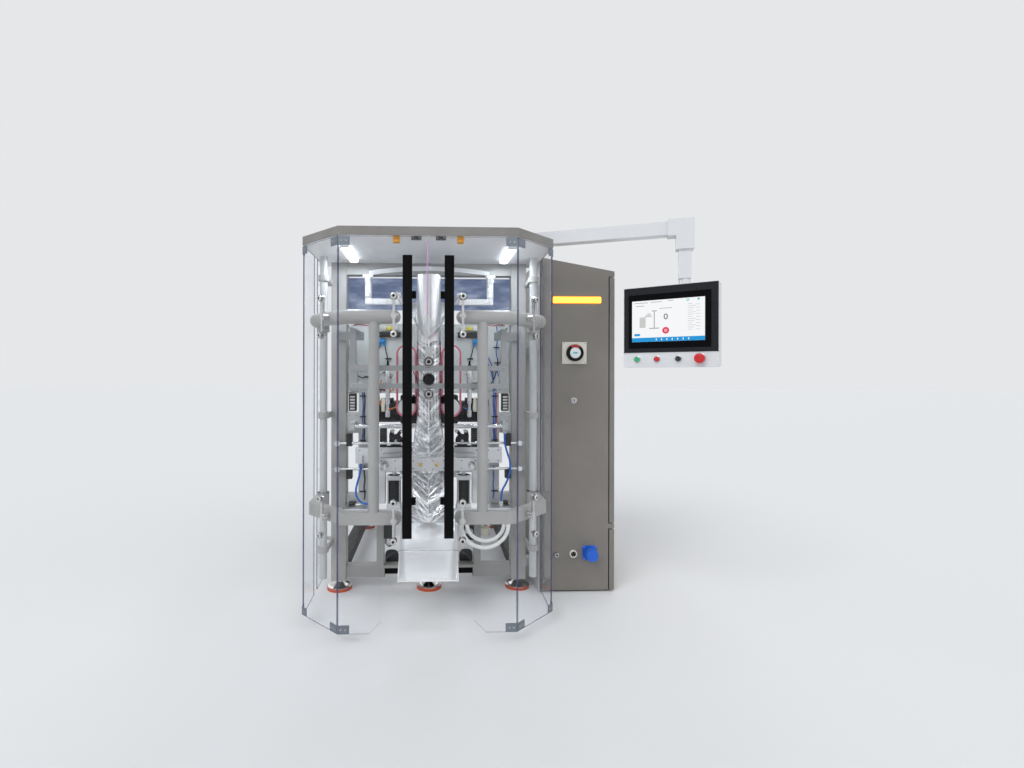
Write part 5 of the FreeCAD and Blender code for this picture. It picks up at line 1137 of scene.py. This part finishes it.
ring = np.stack([np.cos(a), np.zeros(40), np.sin(a)], 1)


def outline(x, z, wide, tall, line, lift):
    """An oval ring of the display: an outer and an inner oval, line apart, each the centre plus half its
    width times cos a and half its height times sin a, at the glass and lift in front of it."""
    middle = np.array((x, 0, z))
    outer = middle + ring * (wide / 2, 1, tall / 2)
    inner = middle + ring * (wide / 2 - line, 1, tall / 2 - line)
    front = -5 - lift
    rows = np.stack([oval + (0, y, 0) for oval, y in
                     ((inner, GLASS), (outer, GLASS), (outer, front), (inner, front))], 1)
    return on_panel(skin(rows, round_rows=True, ends=False))


def disc(x, z, wide, lift):
    """A round spot of the display."""
    return on_panel(turned((x, GLASS, z), FORWARD, ((0, wide / 2), (lift + 0.1, wide / 2)), 40))


bagger = [tile(-124, -98, 1306, 1352, 0.5, 1), tile(-100, -72, 1352, 1360, 0.5, 1),
          tile(-92, -76, 1362, 1368, 0.5, 1)]
stand = [tile(-63, -59, 1304, 1376, 0.5, 0.5), tile(-82, -40, 1300, 1304, 0.5, 0.5),
         tile(-72, -50, 1376, 1380, 0.5, 0.5)]
keys = [tile(-54 + 22 * k, -50 + 22 * k, 1249, 1257, 0.9, 0.5) for k in range(7)]
new_piece("display", "panel", (screen_white, tile(-157, 143, 1244, 1425, 0.3), *keys),
          (screen_blue, tile(-156.9, 142.9, 1244.1, 1262, 0.6), tile(-147, -122, 1270, 1280, 0.5, 1)),
          (screen_pale, *lines, *bagger), (screen_grey, *titles, *stand),
          (screen_dark, outline(-13, 1351, 17, 25, 3.8, 0.6)), (screen_red, disc(-13, 1291, 29, 0.5)),
          (screen_teal, outline(76, 1416, 11, 11, 2.2, 0.6), disc(118, 1417, 9, 0.5)))
new_piece("display_mark", "panel",
          (screen_white, outline(-13, 1291, 12, 12, 1.4, 0.8), disc(-13, 1291, 3, 0.8)))
BUTTON_ROW = 1167.5
CAP = ((-9, 11.2), (0, 11.2), (1.6, 10.4), (2.2, 8), (1.4, 3))
BUTTON_COLLAR = ((0, 14.5), (2.5, 14.5), (3.5, 13), (3.5, 11.4))
STOP_CAP = ((0.5, 14), (1, 19), (3, 20.6), (12, 20.4), (15, 18), (16.6, 13), (17.2, 6))
STOP_COLLAR = ((0, 21), (2.5, 21), (3.5, 19), (3.5, 14.2))
BUTTONS = (-135, -50, 38)
green_cap, red_cap, dark_cap = [on_panel(turned((x, -9, BUTTON_ROW), FORWARD, CAP, 40)) for x in BUTTONS]
collars = [on_panel(turned((x, 0, BUTTON_ROW), FORWARD, BUTTON_COLLAR, 40)) for x in BUTTONS]
selector = on_panel(bar((36, -16, 1158), (40, -9, 1177), 1, 1.5, 0.8))
stop_cap = on_panel(turned((126, -18, BUTTON_ROW), FORWARD, STOP_CAP, 64))
stop_collar = on_panel(turned((126, 0, BUTTON_ROW), FORWARD, STOP_COLLAR, 48))
new_piece("button_caps", "panel", (button_green, green_cap), (button_red, red_cap, stop_cap),
          (button_dark, dark_cap, selector), (steel_screw, *collars, stop_collar))
bezel_edge = on_panel(bar((-196.6, -2.4, 1196.6), (196.6, 0.2, 1198.4), 0, 1))
new_piece("panel_seam", "panel", (button_dark, bezel_edge))
